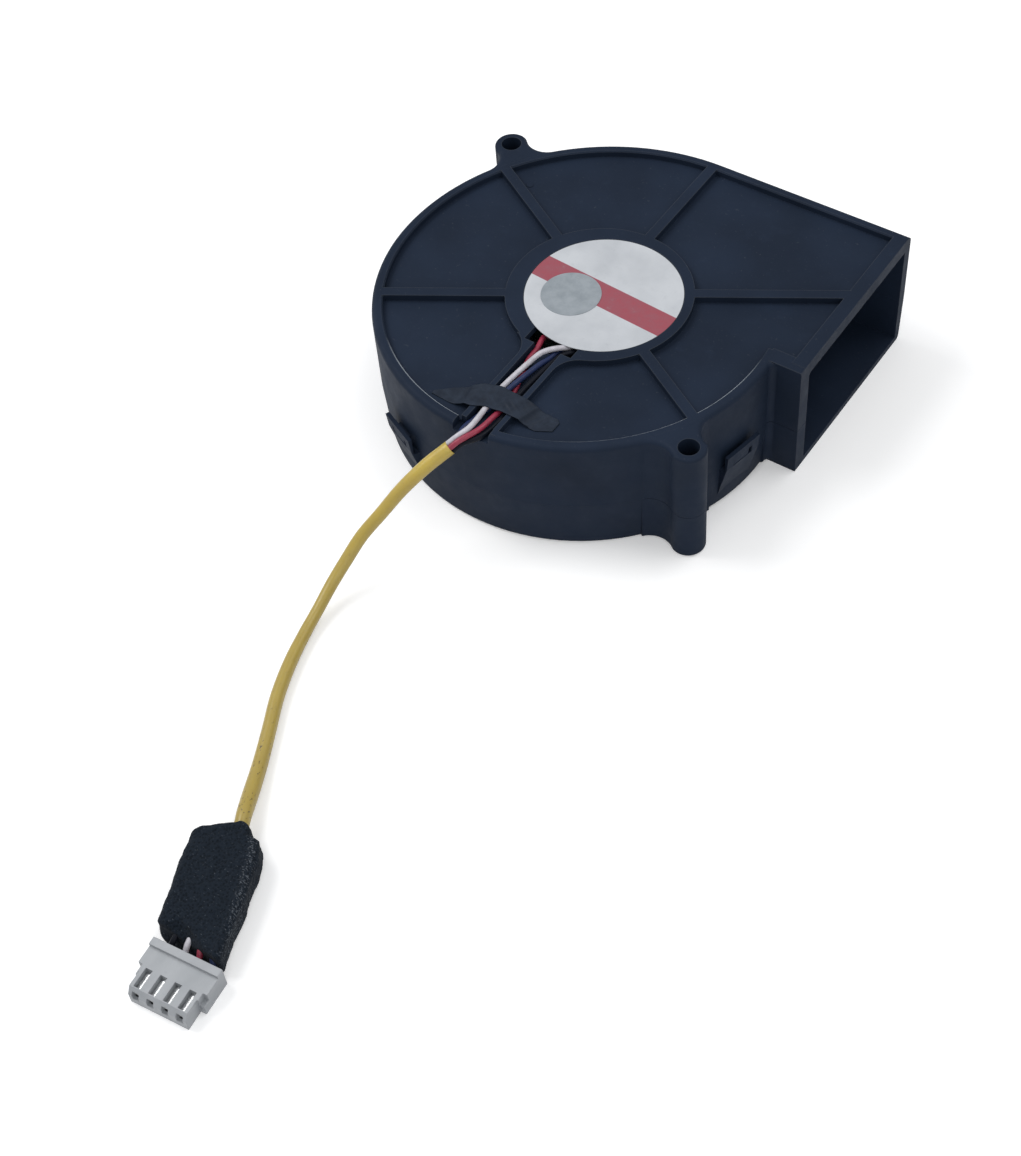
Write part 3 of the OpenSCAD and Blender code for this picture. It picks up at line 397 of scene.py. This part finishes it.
def sleeve_tubing():
    """Soft yellow tubing: glossy, a little cloudy, darker and duller from partway along its run,
    with grime spots and dark marks.
    """
    t = Tree("yellow_sleeve")
    cloud = t.noise(6 * MM, 4.0, 0.6)
    spot = t.noise(1.4 * MM, 5.0, 0.7)
    run = t.axes(t.place)["Y"]
    tone = t.mix(t.span(cloud, 0.35, 0.7), (0.52, 0.385, 0.07), (0.44, 0.32, 0.07))
    tone = t.mix(t.span(run, DULL_FROM, DULL_TO, 0.0, 0.5), tone, (0.29, 0.217, 0.055))
    tone = t.mix(t.span(spot, 0.6, 0.78, 0.0, 0.5), tone, (0.2, 0.14, 0.05))
    fleck = t.noise(0.8 * MM, 2.0, 0.5, t.stretched((1.6, 0.8, 1.6)))
    fleck = t.math("MULTIPLY", t.span(fleck, 0.63, 0.69, 0.0, 0.8),
                   t.span(run, MARKS_FROM, MARKS_TO))
    t.set(Base_Color=t.mix(fleck, tone, (0.06, 0.045, 0.03)),
          Roughness=t.span(spot, 0.3, 0.7, 0.28, 0.46),
          Subsurface_Weight=0.08, Subsurface_Radius=(0.002, 0.0012, 0.0004), Subsurface_Scale=0.5,
          Normal=t.bump(t.noise(2.5 * MM, 3.0), 0.06 * MM, 0.5))
    return t.material


# The foam's long ridge: the direction across it, and how far along that it lies
RIDGE_SIDE, RIDGE_AT = (0.9, 0.436, 0.0), -50.2 * MM


def open_foam():
    """Black foam: open cells with lighter cell edges, and lint on them, with more lint along the
    ridge as a painted highlight there.
    """
    t = Tree("foam")
    pores = t.cells(0.55 * MM)
    fine = t.noise(0.3 * MM, 4.0, 0.7)
    lint = t.noise(0.5 * MM, 2.0, 0.5, t.stretched((1.0, 2.2, 1.0)))
    # More of the light lint along the ridge: a painted highlight on that edge
    off_ridge = t.away(t.dot(t.place, RIDGE_SIDE), RIDGE_AT)
    lint = t.math("ADD", lint, t.span(off_ridge, 0.3 * MM, 1.8 * MM, 0.14, 0.0))
    tone = t.mix(t.span(pores, 0.1, 0.6), (0.003, 0.005, 0.008), (0.010, 0.015, 0.023))
    tone = t.mix(t.span(fine, 0.5, 0.75, 0.0, 0.5), tone, (0.022, 0.029, 0.039))
    t.set(Base_Color=t.mix(t.span(lint, 0.66, 0.76, 0.0, 0.6), tone, (0.12, 0.135, 0.155)),
          Roughness=0.95, Specular_IOR_Level=0.08, Sheen_Weight=0.03, Sheen_Roughness=0.6,
          Normal=t.bump(t.math("ADD", pores, t.math("MULTIPLY", fine, 0.5)), 0.16 * MM, 0.8))
    return t.material


def cloth_tape():
    """Thin black tape: soft creases, a faint weave and a dull sheen."""
    t = Tree("tape")
    crease = t.noise(2.4 * MM, 4.0, 0.6)
    weave = t.noise(0.25 * MM, 1.0, 0.5, t.stretched((1.0, 3.0, 1.0)))
    t.set(Base_Color=t.mix(t.span(crease, 0.35, 0.7), (0.011, 0.0165, 0.028),
                           (0.02, 0.029, 0.047)),
          Roughness=t.span(crease, 0.3, 0.7, 0.42, 0.58), Specular_IOR_Level=0.16,
          Normal=t.bump(weave, 0.02 * MM, 0.4, t.bump(crease, 0.12 * MM, 0.5)))
    return t.material


# The label's red band: the direction across it, its two edges along that and how soft they are
BAND_TURN = math.radians(-4.1)
BAND_ACROSS = (-math.sin(BAND_TURN), math.cos(BAND_TURN), 0.0)
BAND_LOW, BAND_HIGH, BAND_SOFT = -3.5 * MM, 3.04 * MM, 0.06 * MM


def band_mask(t):
    """1 on the label's band, 0 outside, with slightly uneven edges."""
    uneven = t.math("MULTIPLY", t.math("SUBTRACT", t.noise(0.25 * MM, 3.0), 0.5), 0.1 * MM)
    across = t.math("ADD", t.dot(t.place, BAND_ACROSS), uneven)
    return t.math("MULTIPLY", t.span(across, BAND_LOW - BAND_SOFT, BAND_LOW + BAND_SOFT),
                  t.span(across, BAND_HIGH + BAND_SOFT, BAND_HIGH - BAND_SOFT))


def label_film():
    """Satin label film with one plain red band, faint creases and rubbed print."""
    t = Tree("label_film")
    cloud = t.noise(7 * MM, 4.0)
    rub = t.noise(1.6 * MM, 6.0, 0.7)
    crease = t.noise(9 * MM, 2.0, 0.4, t.stretched((0.5, 2.0, 1.0)))
    paper = t.mix(t.span(cloud, 0.35, 0.7), (0.52, 0.54, 0.57), (0.44, 0.46, 0.49))
    paper = t.mix(t.span(rub, 0.58, 0.8, 0.0, 0.4), paper, (0.31, 0.325, 0.35))
    ink = t.mix(t.span(rub, 0.4, 0.75), (0.30, 0.062, 0.085), (0.26, 0.078, 0.102))
    band = t.math("MULTIPLY", band_mask(t), t.span(rub, 0.62, 0.82, 1.0, 0.75))
    t.set(Base_Color=t.mix(band, paper, ink),
          Roughness=t.span(rub, 0.3, 0.7, 0.34, 0.5),
          Normal=t.bump(crease, 0.25 * MM, 0.5, t.bump(t.noise(0.8 * MM, 3.0), 0.02 * MM, 0.3)))
    return t.material


def sticker_film():
    """Grey satin sticker with small crumples and worn spots."""
    t = Tree("sticker")
    crumple = t.noise(2.2 * MM, 4.0, 0.6)
    worn = t.noise(1.1 * MM, 5.0, 0.7)
    tone = t.mix(t.span(crumple, 0.35, 0.7), (0.29, 0.322, 0.352), (0.22, 0.25, 0.277))
    t.set(Base_Color=t.mix(t.span(worn, 0.62, 0.8, 0.0, 0.55), tone, (0.46, 0.48, 0.5)),
          Roughness=t.span(crumple, 0.3, 0.7, 0.3, 0.48),
          Normal=t.bump(crumple, 0.1 * MM, 0.4))
    return t.material


def connector_nylon():
    """White connector nylon: a little see-through at thin edges, with flow marks."""
    t = Tree("connector_plastic")
    flow = t.noise(5 * MM, 4.0, 0.55, t.stretched((1.0, 0.4, 1.0)))
    grime = t.noise(1.5 * MM, 5.0, 0.65)
    tone = t.mix(t.span(flow, 0.35, 0.7), (0.36, 0.376, 0.397), (0.31, 0.327, 0.347))
    t.set(Base_Color=t.mix(t.span(grime, 0.6, 0.8, 0.0, 0.35), tone, (0.24, 0.25, 0.265)),
          Roughness=t.span(flow, 0.3, 0.7, 0.36, 0.5),
          Subsurface_Weight=0.1, Subsurface_Radius=(0.0012, 0.0012, 0.0012), Subsurface_Scale=0.4,
          Normal=t.bump(t.noise(0.4 * MM, 3.0), 0.015 * MM, 0.4, t.soft_edges(0.15 * MM)))
    return t.material


yellow_sleeve, foam_black, tape_black = sleeve_tubing(), open_foam(), cloth_tape()
label_paper, sticker_grey, nylon = label_film(), sticker_film(), connector_nylon()

# Lead: the sleeve's route, as in the part's source
SLEEVE = mm([
    (-3.5, -50.5, 27), (-6.5, -55, 24), (-9.5, -60, 20), (-12, -64.5, 15.5), (-14.5, -69, 11),
    (-15.5, -73.5, 7.5), (-16, -78.5, 4.5), (-15.5, -84, 2.7), (-14.5, -90, 1.9),
    (-12.5, -97.5, 1.8), (-9.5, -105.5, 1.8), (-6, -112.5, 1.8), (-2.3, -120, 1.9),
    (1.5, -128, 2.8), (3.2025, -131.347, 3.5), (5.0185, -134.911, 3.5)])
SLEEVE_R = 1.7 * MM
# How much of that radius the sleeve has along its length, and a faint ripple on it
SLEEVE_GIRTH = [(0, 0.9), (0.2, 0.84), (0.35, 0.78), (0.5, 0.77), (0.65, 0.84), (0.85, 0.95),
                (1, 0.88)]
RIPPLE, RIPPLE_RATE = 0.02, 23
# The hollow at its start: inner radius and depth
SLEEVE_MOUTH = (1.36 * MM, 3 * MM)
SLEEVE_STEPS, SLEEVE_SIDES = 6, 24


def sleeve_radius(s):
    """The sleeve's radius at a share of its length."""
    return SLEEVE_R * (follow(SLEEVE_GIRTH, s) + RIPPLE * math.sin(RIPPLE_RATE * s))


sleeve_route = smooth_route(SLEEVE, SLEEVE_STEPS)
bm = bmesh.new()
add_tube(bm, sleeve_route, sleeve_radius, SLEEVE_SIDES, SLEEVE_MOUTH)
sleeve = finish_mesh("lead_sleeve", bm)
dress(sleeve, yellow_sleeve, "yellow_sleeve", "yellow_sleeve")

# Wires: the routes from the board to the sleeve, and on from the foam to the connector
WIRE_R = 0.6 * MM
WIRE_STEPS, TAIL_STEPS, WIRE_SIDES = 5, 4, 14
WAY = (SLEEVE[1] - SLEEVE[0]).normalized()
SIDE = WAY.cross(Vector((0, 0, 1))).normalized()
RISE = SIDE.cross(WAY)
# At the sleeve's mouth: a wire's offset from the middle, and its run before and inside
MOUTH_OFF, MOUTH_BEFORE, MOUTH_INSIDE = 0.63 * MM, 2.5 * MM, 1.5 * MM
# Where the wires leave the foam and enter the connector: place, direction and pitch
FOAM_FRONT, FOAM_TURN, FOAM_PITCH = Vector((13.2498, -158.7752, 0)), math.radians(-90), 2.8
PLUG_AT, PLUG_TURN, PLUG_PITCH = Vector((14, -160.4, 0)), math.radians(-84), 3.2
# A wire's tail: where it starts and arches, from the foam's front, its straight end and heights
TAIL_START, TAIL_ARCH, TAIL_STRAIGHT = -5, -1, 0.4
WIRE_Z, ARCH_Z = 2.7, 3.9


def along(origin, turn, forward, across, z):
    """A point in millimetres, from a place and the direction in which the lead runs there."""
    c, s = math.cos(turn), math.sin(turn)
    return Vector((origin.x + forward * c - across * s, origin.y + forward * s + across * c, z))


# Each wire's material, its place in the connector in pitches from the middle, its corner of the
# sleeve's mouth and its route up to there
WIRES = {
    "red": (red_wire, 0.5, (-1, 1), [
        (-4, -14, 26.6), (-4, -14, 27.2), (-3.8, -16, 28.3), (-3, -19.6, 28.5),
        (-2.8, -23, 28.45), (-0.5, -31, 28.45), (0.3, -34, 28.45), (0.6, -38, 28.8),
        (0.6, -41, 29.3), (0.2, -45, 29.4)]),
    "white": (white_wire, -0.5, (1, 1), [
        (2.8, -14, 26.6), (2.8, -14, 27.2), (2.6, -16, 28.7), (1, -18.4, 29.7), (-0.8, -20.8, 29.7),
        (-1.5, -24.5, 29.7), (-2.3, -33, 29.7), (-2.3, -36, 29.7), (-1.9, -40, 29.7),
        (-1.6, -46, 29.8)]),
    "blue": (blue_wire, 1.5, (1, -1), [
        (1, -14, 26.6), (1, -14, 26.8), (1.2, -16.2, 27.8), (1, -18.6, 28.42), (0.8, -21, 28.6),
        (0.5, -24, 29.4), (-0.7, -32, 29.7), (-0.9, -34, 29.6), (-1.2, -36, 28.9),
        (-1.7, -38, 28.5), (-2.8, -42, 28.45), (-3.2, -46.9, 28.42)]),
    "black": (black_wire, -1.5, (-1, -1), [
        (4.6, -14, 26.6), (4.6, -14, 27.2), (4.2, -16, 28.3), (2.4, -18.8, 28.5), (2.1, -21, 28.6),
        (2.1, -23, 29), (1.6, -33, 29.3), (1.9, -38, 28.6), (1.7, -42, 28.45),
        (0.8, -46.4, 28.45)]),
}
for colour, (material, pitches, (side, up), points) in WIRES.items():
    end = SLEEVE[0] + MOUTH_OFF * (side * SIDE + up * RISE)
    route = mm(points) + [end - MOUTH_BEFORE * WAY, end, end + MOUTH_INSIDE * WAY]
    in_foam, in_plug = pitches * FOAM_PITCH, pitches * PLUG_PITCH
    tail = [along(FOAM_FRONT, FOAM_TURN, TAIL_START, in_foam, WIRE_Z),
            along(FOAM_FRONT, FOAM_TURN, TAIL_ARCH, in_foam, ARCH_Z),
            along(PLUG_AT, PLUG_TURN, -TAIL_STRAIGHT, in_plug, WIRE_Z),
            along(PLUG_AT, PLUG_TURN, 0, in_plug, WIRE_Z)]
    bm = bmesh.new()
    add_tube(bm, smooth_route(route, WIRE_STEPS), WIRE_R, WIRE_SIDES)
    add_tube(bm, smooth_route(mm(tail), TAIL_STEPS), WIRE_R, WIRE_SIDES)
    dress(finish_mesh("lead_wire_" + colour, bm), material, colour + "_wire", "wire_" + colour)

# Tape over the wires: a thin strip that drapes over the channel's walls on to the panels
TAPE_UPPER = [(-14.6, -40.4), (-11.5, -37.7), (-7.9, -35.4), (-4, -34.1), (-1.3, -33.6),
              (5.1, -33.9), (11.9, -34.1), (12.7, -34.8)]
TAPE_LOWER = [(-14.6, -41.2), (-10, -41.5), (-5.1, -41.2), (-1.5, -39.9), (1.4, -39.4),
              (6, -39.3), (9.6, -39.1), (12.7, -37.4)]
TAPE_T = 0.16
TAPE_COLUMNS, TAPE_ROWS = 128, 32
# Room under the tape on the panels and on the rim's height, and where it rises from each panel
OVER_PANEL, OVER_RIM = 0.06, 0.03
TAPE_RISE_LEFT, TAPE_RISE_RIGHT = (-9.6, -5.4), (8.9, 4.6)
# Swells over the wires: place along X, width and height
TAPE_SWELLS = ((-2.1, 1.1, 0.32), (1.7, 1.3, 0.1))
# Creases: place along X at a Y, slant, width and height
TAPE_CREASES = ((6.3, -37, 0.25, 0.45, 0.22), (8.4, -37, 0.4, 0.4, 0.14),
                (-7.2, -38, -0.3, 0.5, 0.12))
# Wrinkles: middle and width along X and Y, then their height, rate and direction
WRINKLE_X, WRINKLE_Y = (2.6, 1.8), (-37.2, 1.6)
WRINKLE_H, WRINKLE_RATE, WRINKLE_WAY = 0.08, 5.0, (0.5, 0.86)


def tape_height(x, y):
    """The tape's underside: up on the channel's walls and wires, down on the panels."""
    up = ramp(x, *TAPE_RISE_LEFT) * ramp(x, *TAPE_RISE_RIGHT)
    wires = sum(height * bell(x - place, width) for place, width, height in TAPE_SWELLS)
    crease = sum(height * bell(x - place - slant * (y - at), width)
                 for place, at, slant, width, height in TAPE_CREASES)
    wrinkled = bell(x - WRINKLE_X[0], WRINKLE_X[1]) * bell(y - WRINKLE_Y[0], WRINKLE_Y[1])
    phase = WRINKLE_RATE * (WRINKLE_WAY[0] * x + WRINKLE_WAY[1] * y)
    crease += WRINKLE_H * wrinkled * (1 + math.sin(phase))
    ripple = 0.05 * noise.noise(Vector((0.55 * x, 0.6 * y, 3.0)))
    rise = (RIM_Z + OVER_RIM - PANEL_Z) * up
    return PANEL_Z + OVER_PANEL + rise + wires * up + crease + max(0.0, ripple)


def build_tape():
    """The strip: an under and an upper side, joined round the rim."""
    bm = bmesh.new()
    left, right = TAPE_UPPER[0][0], TAPE_UPPER[-1][0]
    layers = []
    for lift in (0.0, TAPE_T):
        grid = []
        for i in range(TAPE_COLUMNS + 1):
            x = left + (right - left) * i / TAPE_COLUMNS
            low, high = follow(TAPE_LOWER, x), follow(TAPE_UPPER, x)
            row = []
            for j in range(TAPE_ROWS + 1):
                y = low + (high - low) * j / TAPE_ROWS
                row.append(bm.verts.new(Vector((x, y, tape_height(x, y) + lift)) * MM))
            grid.append(row)
        layers.append(grid)
    for grid in layers:
        for a, b in zip(grid, grid[1:]):
            for j in range(TAPE_ROWS):
                bm.faces.new((a[j], b[j], b[j + 1], a[j + 1]))
    under, upper = ([*(row[0] for row in grid), *grid[-1][1:], *(row[-1] for row in grid[-2::-1]),
                     *grid[0][-2:0:-1]] for grid in layers)
    join_rings(bm, under, upper)
    return finish_mesh("wire_tape_strip", bm)


dress(build_tape(), tape_black, "tape", "wire_tape")

# Foam: a strip wrapped round the lead, wider towards the connector. Its free end swells the right
# side, by so many millimetres at each share of the run
FOAM_LEFT = (Vector((-2.3, -139.9, 0)), Vector((5.1, -159.4, 0)))
FOAM_RIGHT = (Vector((6.1, -133.1, 0)), Vector((21.0, -158.6, 0)))
FOAM_SIDE = Vector((0.863, 0.505, 0))
FOAM_SWELL = [(0, 0.2), (0.06, 0.9), (0.105, 1.1), (0.14, 3.0), (0.285, 3.3), (0.46, 2.5),
              (0.63, 1.6), (0.79, 0.5), (0.96, -0.5), (1, -0.6)]
FOAM_H = 7.0
FOAM_WAY = (FOAM_LEFT[1] + FOAM_RIGHT[1] - FOAM_LEFT[0] - FOAM_RIGHT[0]).normalized()
FOAM_RINGS, FOAM_POINTS, CORNER_STEPS = 104, 132, 12
# The section's corners: side, top or not, radius
FOAM_CORNERS = ((1, 0, 1.8), (1, 1, 0.9), (-1, 1, 1.8), (-1, 0, 2.2))
# Each end is drawn in over a share of the run
END_SHARE, END_PINCH = 0.035, 0.10
# The ridge along the right edge, and how far the top sags beside it, between two heights
RIDGE_IN, RIDGE_WIDTH = 1.1, 0.6
SAG, SAG_Z = 0.4, (4.5, 6.5)
# How far the top is drawn back at the front, where the wires show: its middle and width as shares
# of the foam's width, the heights and the share of the run over which it sets in
FOAM_DIP = 3.2
DIP_MIDDLE, DIP_WIDTH, DIP_Z, DIP_RUN = -0.1, 0.3, (1.0, 3.5), (0.7, 1.0)
# Unevenness: depth and size of lumps, knobs and pores, and the room that they take
LUMP, LUMP_SIZE = 0.30, 4.0
KNOB, KNOB_SIZE, KNOB_SHIFT = 0.16, 1.3, Vector((9, 1, 4))
PORE, PORE_SIZE, PORE_FROM_Z = 0.16, 0.42, 0.5
UNEVEN_ROOM, FOAM_LOWEST = 0.18, 0.02
# The ends: how large each ring in them is, how far it sinks, how rough it is, and at what scale
END_RINGS = (0.93, 0.8, 0.62, 0.42, 0.2)
SINK, SINK_ROUGH, SINK_SIZE, SINK_SCALE = 0.25, 0.5, 0.9, 0.6


def foam_outline(width):
    """Points round the wrap's section, with rounded corners, evenly spaced."""
    dense = []
    for quarter, (side, top, r) in enumerate(FOAM_CORNERS):
        cx, cz = side * (width / 2 - r), FOAM_H - r if top else r
        for k in range(CORNER_STEPS + 1):
            turn = math.radians(90 * (quarter - 1) + 90 * k / CORNER_STEPS)
            dense.append((cx + r * math.cos(turn), cz + r * math.sin(turn)))
    dense.append(dense[0])
    reach = [0.0]
    for a, b in zip(dense, dense[1:]):
        reach.append(reach[-1] + math.dist(a, b))
    points, k = [], 0
    for i in range(FOAM_POINTS):
        target = reach[-1] * i / FOAM_POINTS
        while reach[k + 1] < target:
            k += 1
        s = (target - reach[k]) / (reach[k + 1] - reach[k])
        (x0, z0), (x1, z1) = dense[k], dense[k + 1]
        points.append((x0 + s * (x1 - x0), z0 + s * (z1 - z0)))
    return points


def foam_point(s, x, z, middle, across, width):
    """Where a point of the section at a share of the run goes, in millimetres."""
    end = min(1.0, min(s, 1 - s) / END_SHARE)
    pinch = 1 - END_PINCH * (1 - end) ** 2
    ridge = bell(x - width / 2 + RIDGE_IN, RIDGE_WIDTH)
    z -= SAG * (1 - ridge) * ramp(z, *SAG_Z)
    x = x * pinch
    z = FOAM_H / 2 + (z - FOAM_H / 2) * (pinch if z > FOAM_H / 2 else 1.0)
    dip = FOAM_DIP * bell(x / width - DIP_MIDDLE, DIP_WIDTH) * ramp(z, *DIP_Z) * ramp(s, *DIP_RUN)
    point = middle + x * across - dip * FOAM_WAY
    point.z = z
    outward = (x * across + Vector((0, 0, z - FOAM_H / 2))).normalized()
    uneven = LUMP * noise.noise(point / LUMP_SIZE)
    uneven += KNOB * noise.noise(point / KNOB_SIZE + KNOB_SHIFT)
    pore = -PORE * max(0.0, noise.noise(point / PORE_SIZE)) if z > PORE_FROM_Z else 0.0
    point += outward * (uneven - UNEVEN_ROOM + pore)
    point.z = max(FOAM_LOWEST, min(FOAM_H, point.z))
    return point


def close_foam(bm, loop, inward):
    """Closes one end of the wrap with rough rings that sink towards its middle."""
    centre = sum((v.co for v in loop), Vector()) / len(loop)
    outer = loop
    for step, share in enumerate(END_RINGS):
        ring = []
        for v in loop:
            point = centre.lerp(v.co, share)
            sink = SINK * step + SINK_ROUGH * noise.noise(point / MM / SINK_SIZE)
            ring.append(bm.verts.new(point + inward * sink * MM * SINK_SCALE))
        join_rings(bm, outer, ring)
        outer = ring
    bm.faces.new(outer)


def build_foam():
    """The wrap: sections along its run, closed at both ends."""
    bm = bmesh.new()
    loops = []
    for i in range(FOAM_RINGS + 1):
        s = i / FOAM_RINGS
        left = FOAM_LEFT[0].lerp(FOAM_LEFT[1], s)
        right = FOAM_RIGHT[0].lerp(FOAM_RIGHT[1], s) + follow(FOAM_SWELL, s) * FOAM_SIDE
        middle, across = (left + right) / 2, right - left
        width = across.length
        across = across.normalized()
        loops.append([bm.verts.new(foam_point(s, x, z, middle, across, width) * MM)
                      for x, z in foam_outline(width)])
    for a, b in zip(loops, loops[1:]):
        join_rings(bm, a, b)
    ahead = (loops[1][0].co - loops[0][0].co).normalized()
    close_foam(bm, loops[0], ahead)
    close_foam(bm, loops[-1], -ahead)
    return finish_mesh("lead_foam", bm)


foam = dress(build_foam(), foam_black, "foam", "foam_wrap")

# CAD nodes: each one's material
FINISHES = {
    housing_plastic: ("housing_base", "housing_cover"),
    impeller_plastic: ("impeller", "impeller_plate", "impeller_blades", "tie_ring"),
    plated_steel: ("rotor_cup",),
    magnet: ("rotor_magnet",),
    brass: ("shaft_bush", "bearing_tube"),
    bright_steel: ("shaft", "lower_outer_race", "lower_inner_race", "lower_balls",
                   "upper_outer_race", "upper_inner_race", "upper_balls", "preload_spring",
                   "shaft_clip"),
    lamination: ("stator_core",),
    insulator: ("lower_insulator", "upper_insulator"),
    winding: ("coil_1", "coil_2", "coil_3", "coil_4"),
    board: ("circuit_board",),
    chip: ("driver_chip", "hall_sensor"),
    capacitor: ("filter_capacitor",),
    label_paper: ("label",),
    sticker_grey: ("round_sticker",),
    nylon: ("connector_housing",),
    contact: ("terminal_1", "terminal_2", "terminal_3", "terminal_4"),
}
for material, names in FINISHES.items():
    for name in names:
        coat(parts[name], material)

# Stage: a pale floor, white where it is seen, and soft light at a plain level
FLOOR_HALF = 3.0
FLOOR_UNSEEN = (0.6, 0.6, 0.61)
FLOOR_TONES = ((0.93, 0.93, 0.935), (0.95, 0.95, 0.95))
FLOOR_GLOW = 0.22
# No light reaches the floor under the housing, which shows through the inlet: it is dark there
UNDER_TONE = (0.02, 0.022, 0.026)
UNDER_IN, UNDER_OUT = 36 * MM, 42 * MM
corners = [(x * FLOOR_HALF, y * FLOOR_HALF, 0) for x, y in ((-1, -1), (1, -1), (1, 1), (-1, 1))]
floor_mesh = bpy.data.meshes.new("floor")
floor_mesh.from_pydata(corners, [], [(0, 1, 2, 3)])
floor = bpy.data.objects.new("floor", floor_mesh)
scene.collection.objects.link(floor)
paint = Tree("floor")
rays = paint.add("ShaderNodeLightPath").outputs
mirrored = paint.math("MAXIMUM", rays["Is Glossy Ray"], rays["Is Transmission Ray"])
seen = paint.math("MAXIMUM", rays["Is Camera Ray"], mirrored)
cloud = paint.span(paint.noise(0.4, 2.0), 0.3, 0.7)
pale = paint.mix(seen, FLOOR_UNSEEN, paint.mix(cloud, *FLOOR_TONES))
off_axis = paint.add("ShaderNodeVectorMath", {0: paint.place}, operation="LENGTH").outputs["Value"]
clear = paint.span(off_axis, UNDER_IN, UNDER_OUT)
glow = paint.math("MULTIPLY", paint.math("MULTIPLY", seen, FLOOR_GLOW), clear)
paint.set(Base_Color=paint.mix(clear, UNDER_TONE, pale), Roughness=0.9, Specular_IOR_Level=0.1,
          Emission_Color=(1.0, 1.0, 1.0), Emission_Strength=glow)
coat(floor, paint.material)

world = bpy.data.worlds.new("world")
world.use_nodes = True
scene.world = world
background = world.node_tree.nodes["Background"]
background.inputs["Color"].default_value = (0.97, 0.985, 1.0, 1.0)
background.inputs["Strength"].default_value = 0.5

# Soft square lamps that face the middle: place, size and power
MIDDLE = Vector((0.0, -0.03, 0.01))
LAMPS = {
    "key": ((-0.55, -0.15, 0.75), 0.5, 4.1),
    "fill": ((0.5, -0.6, 0.7), 0.7, 1.65),
    "overhead": ((0.25, 0.3, 0.95), 0.5, 2.2),
    "side": ((0.9, -0.4, 0.35), 0.3, 0.6),
}
for name, (place, size, power) in LAMPS.items():
    lamp = bpy.data.lights.new(name, "AREA")
    lamp.size = size
    lamp.energy = power
    holder = bpy.data.objects.new(name, lamp)
    holder.location = place
    holder.rotation_euler = (MIDDLE - Vector(place)).to_track_quat("-Z", "Y").to_euler()
    scene.collection.objects.link(holder)
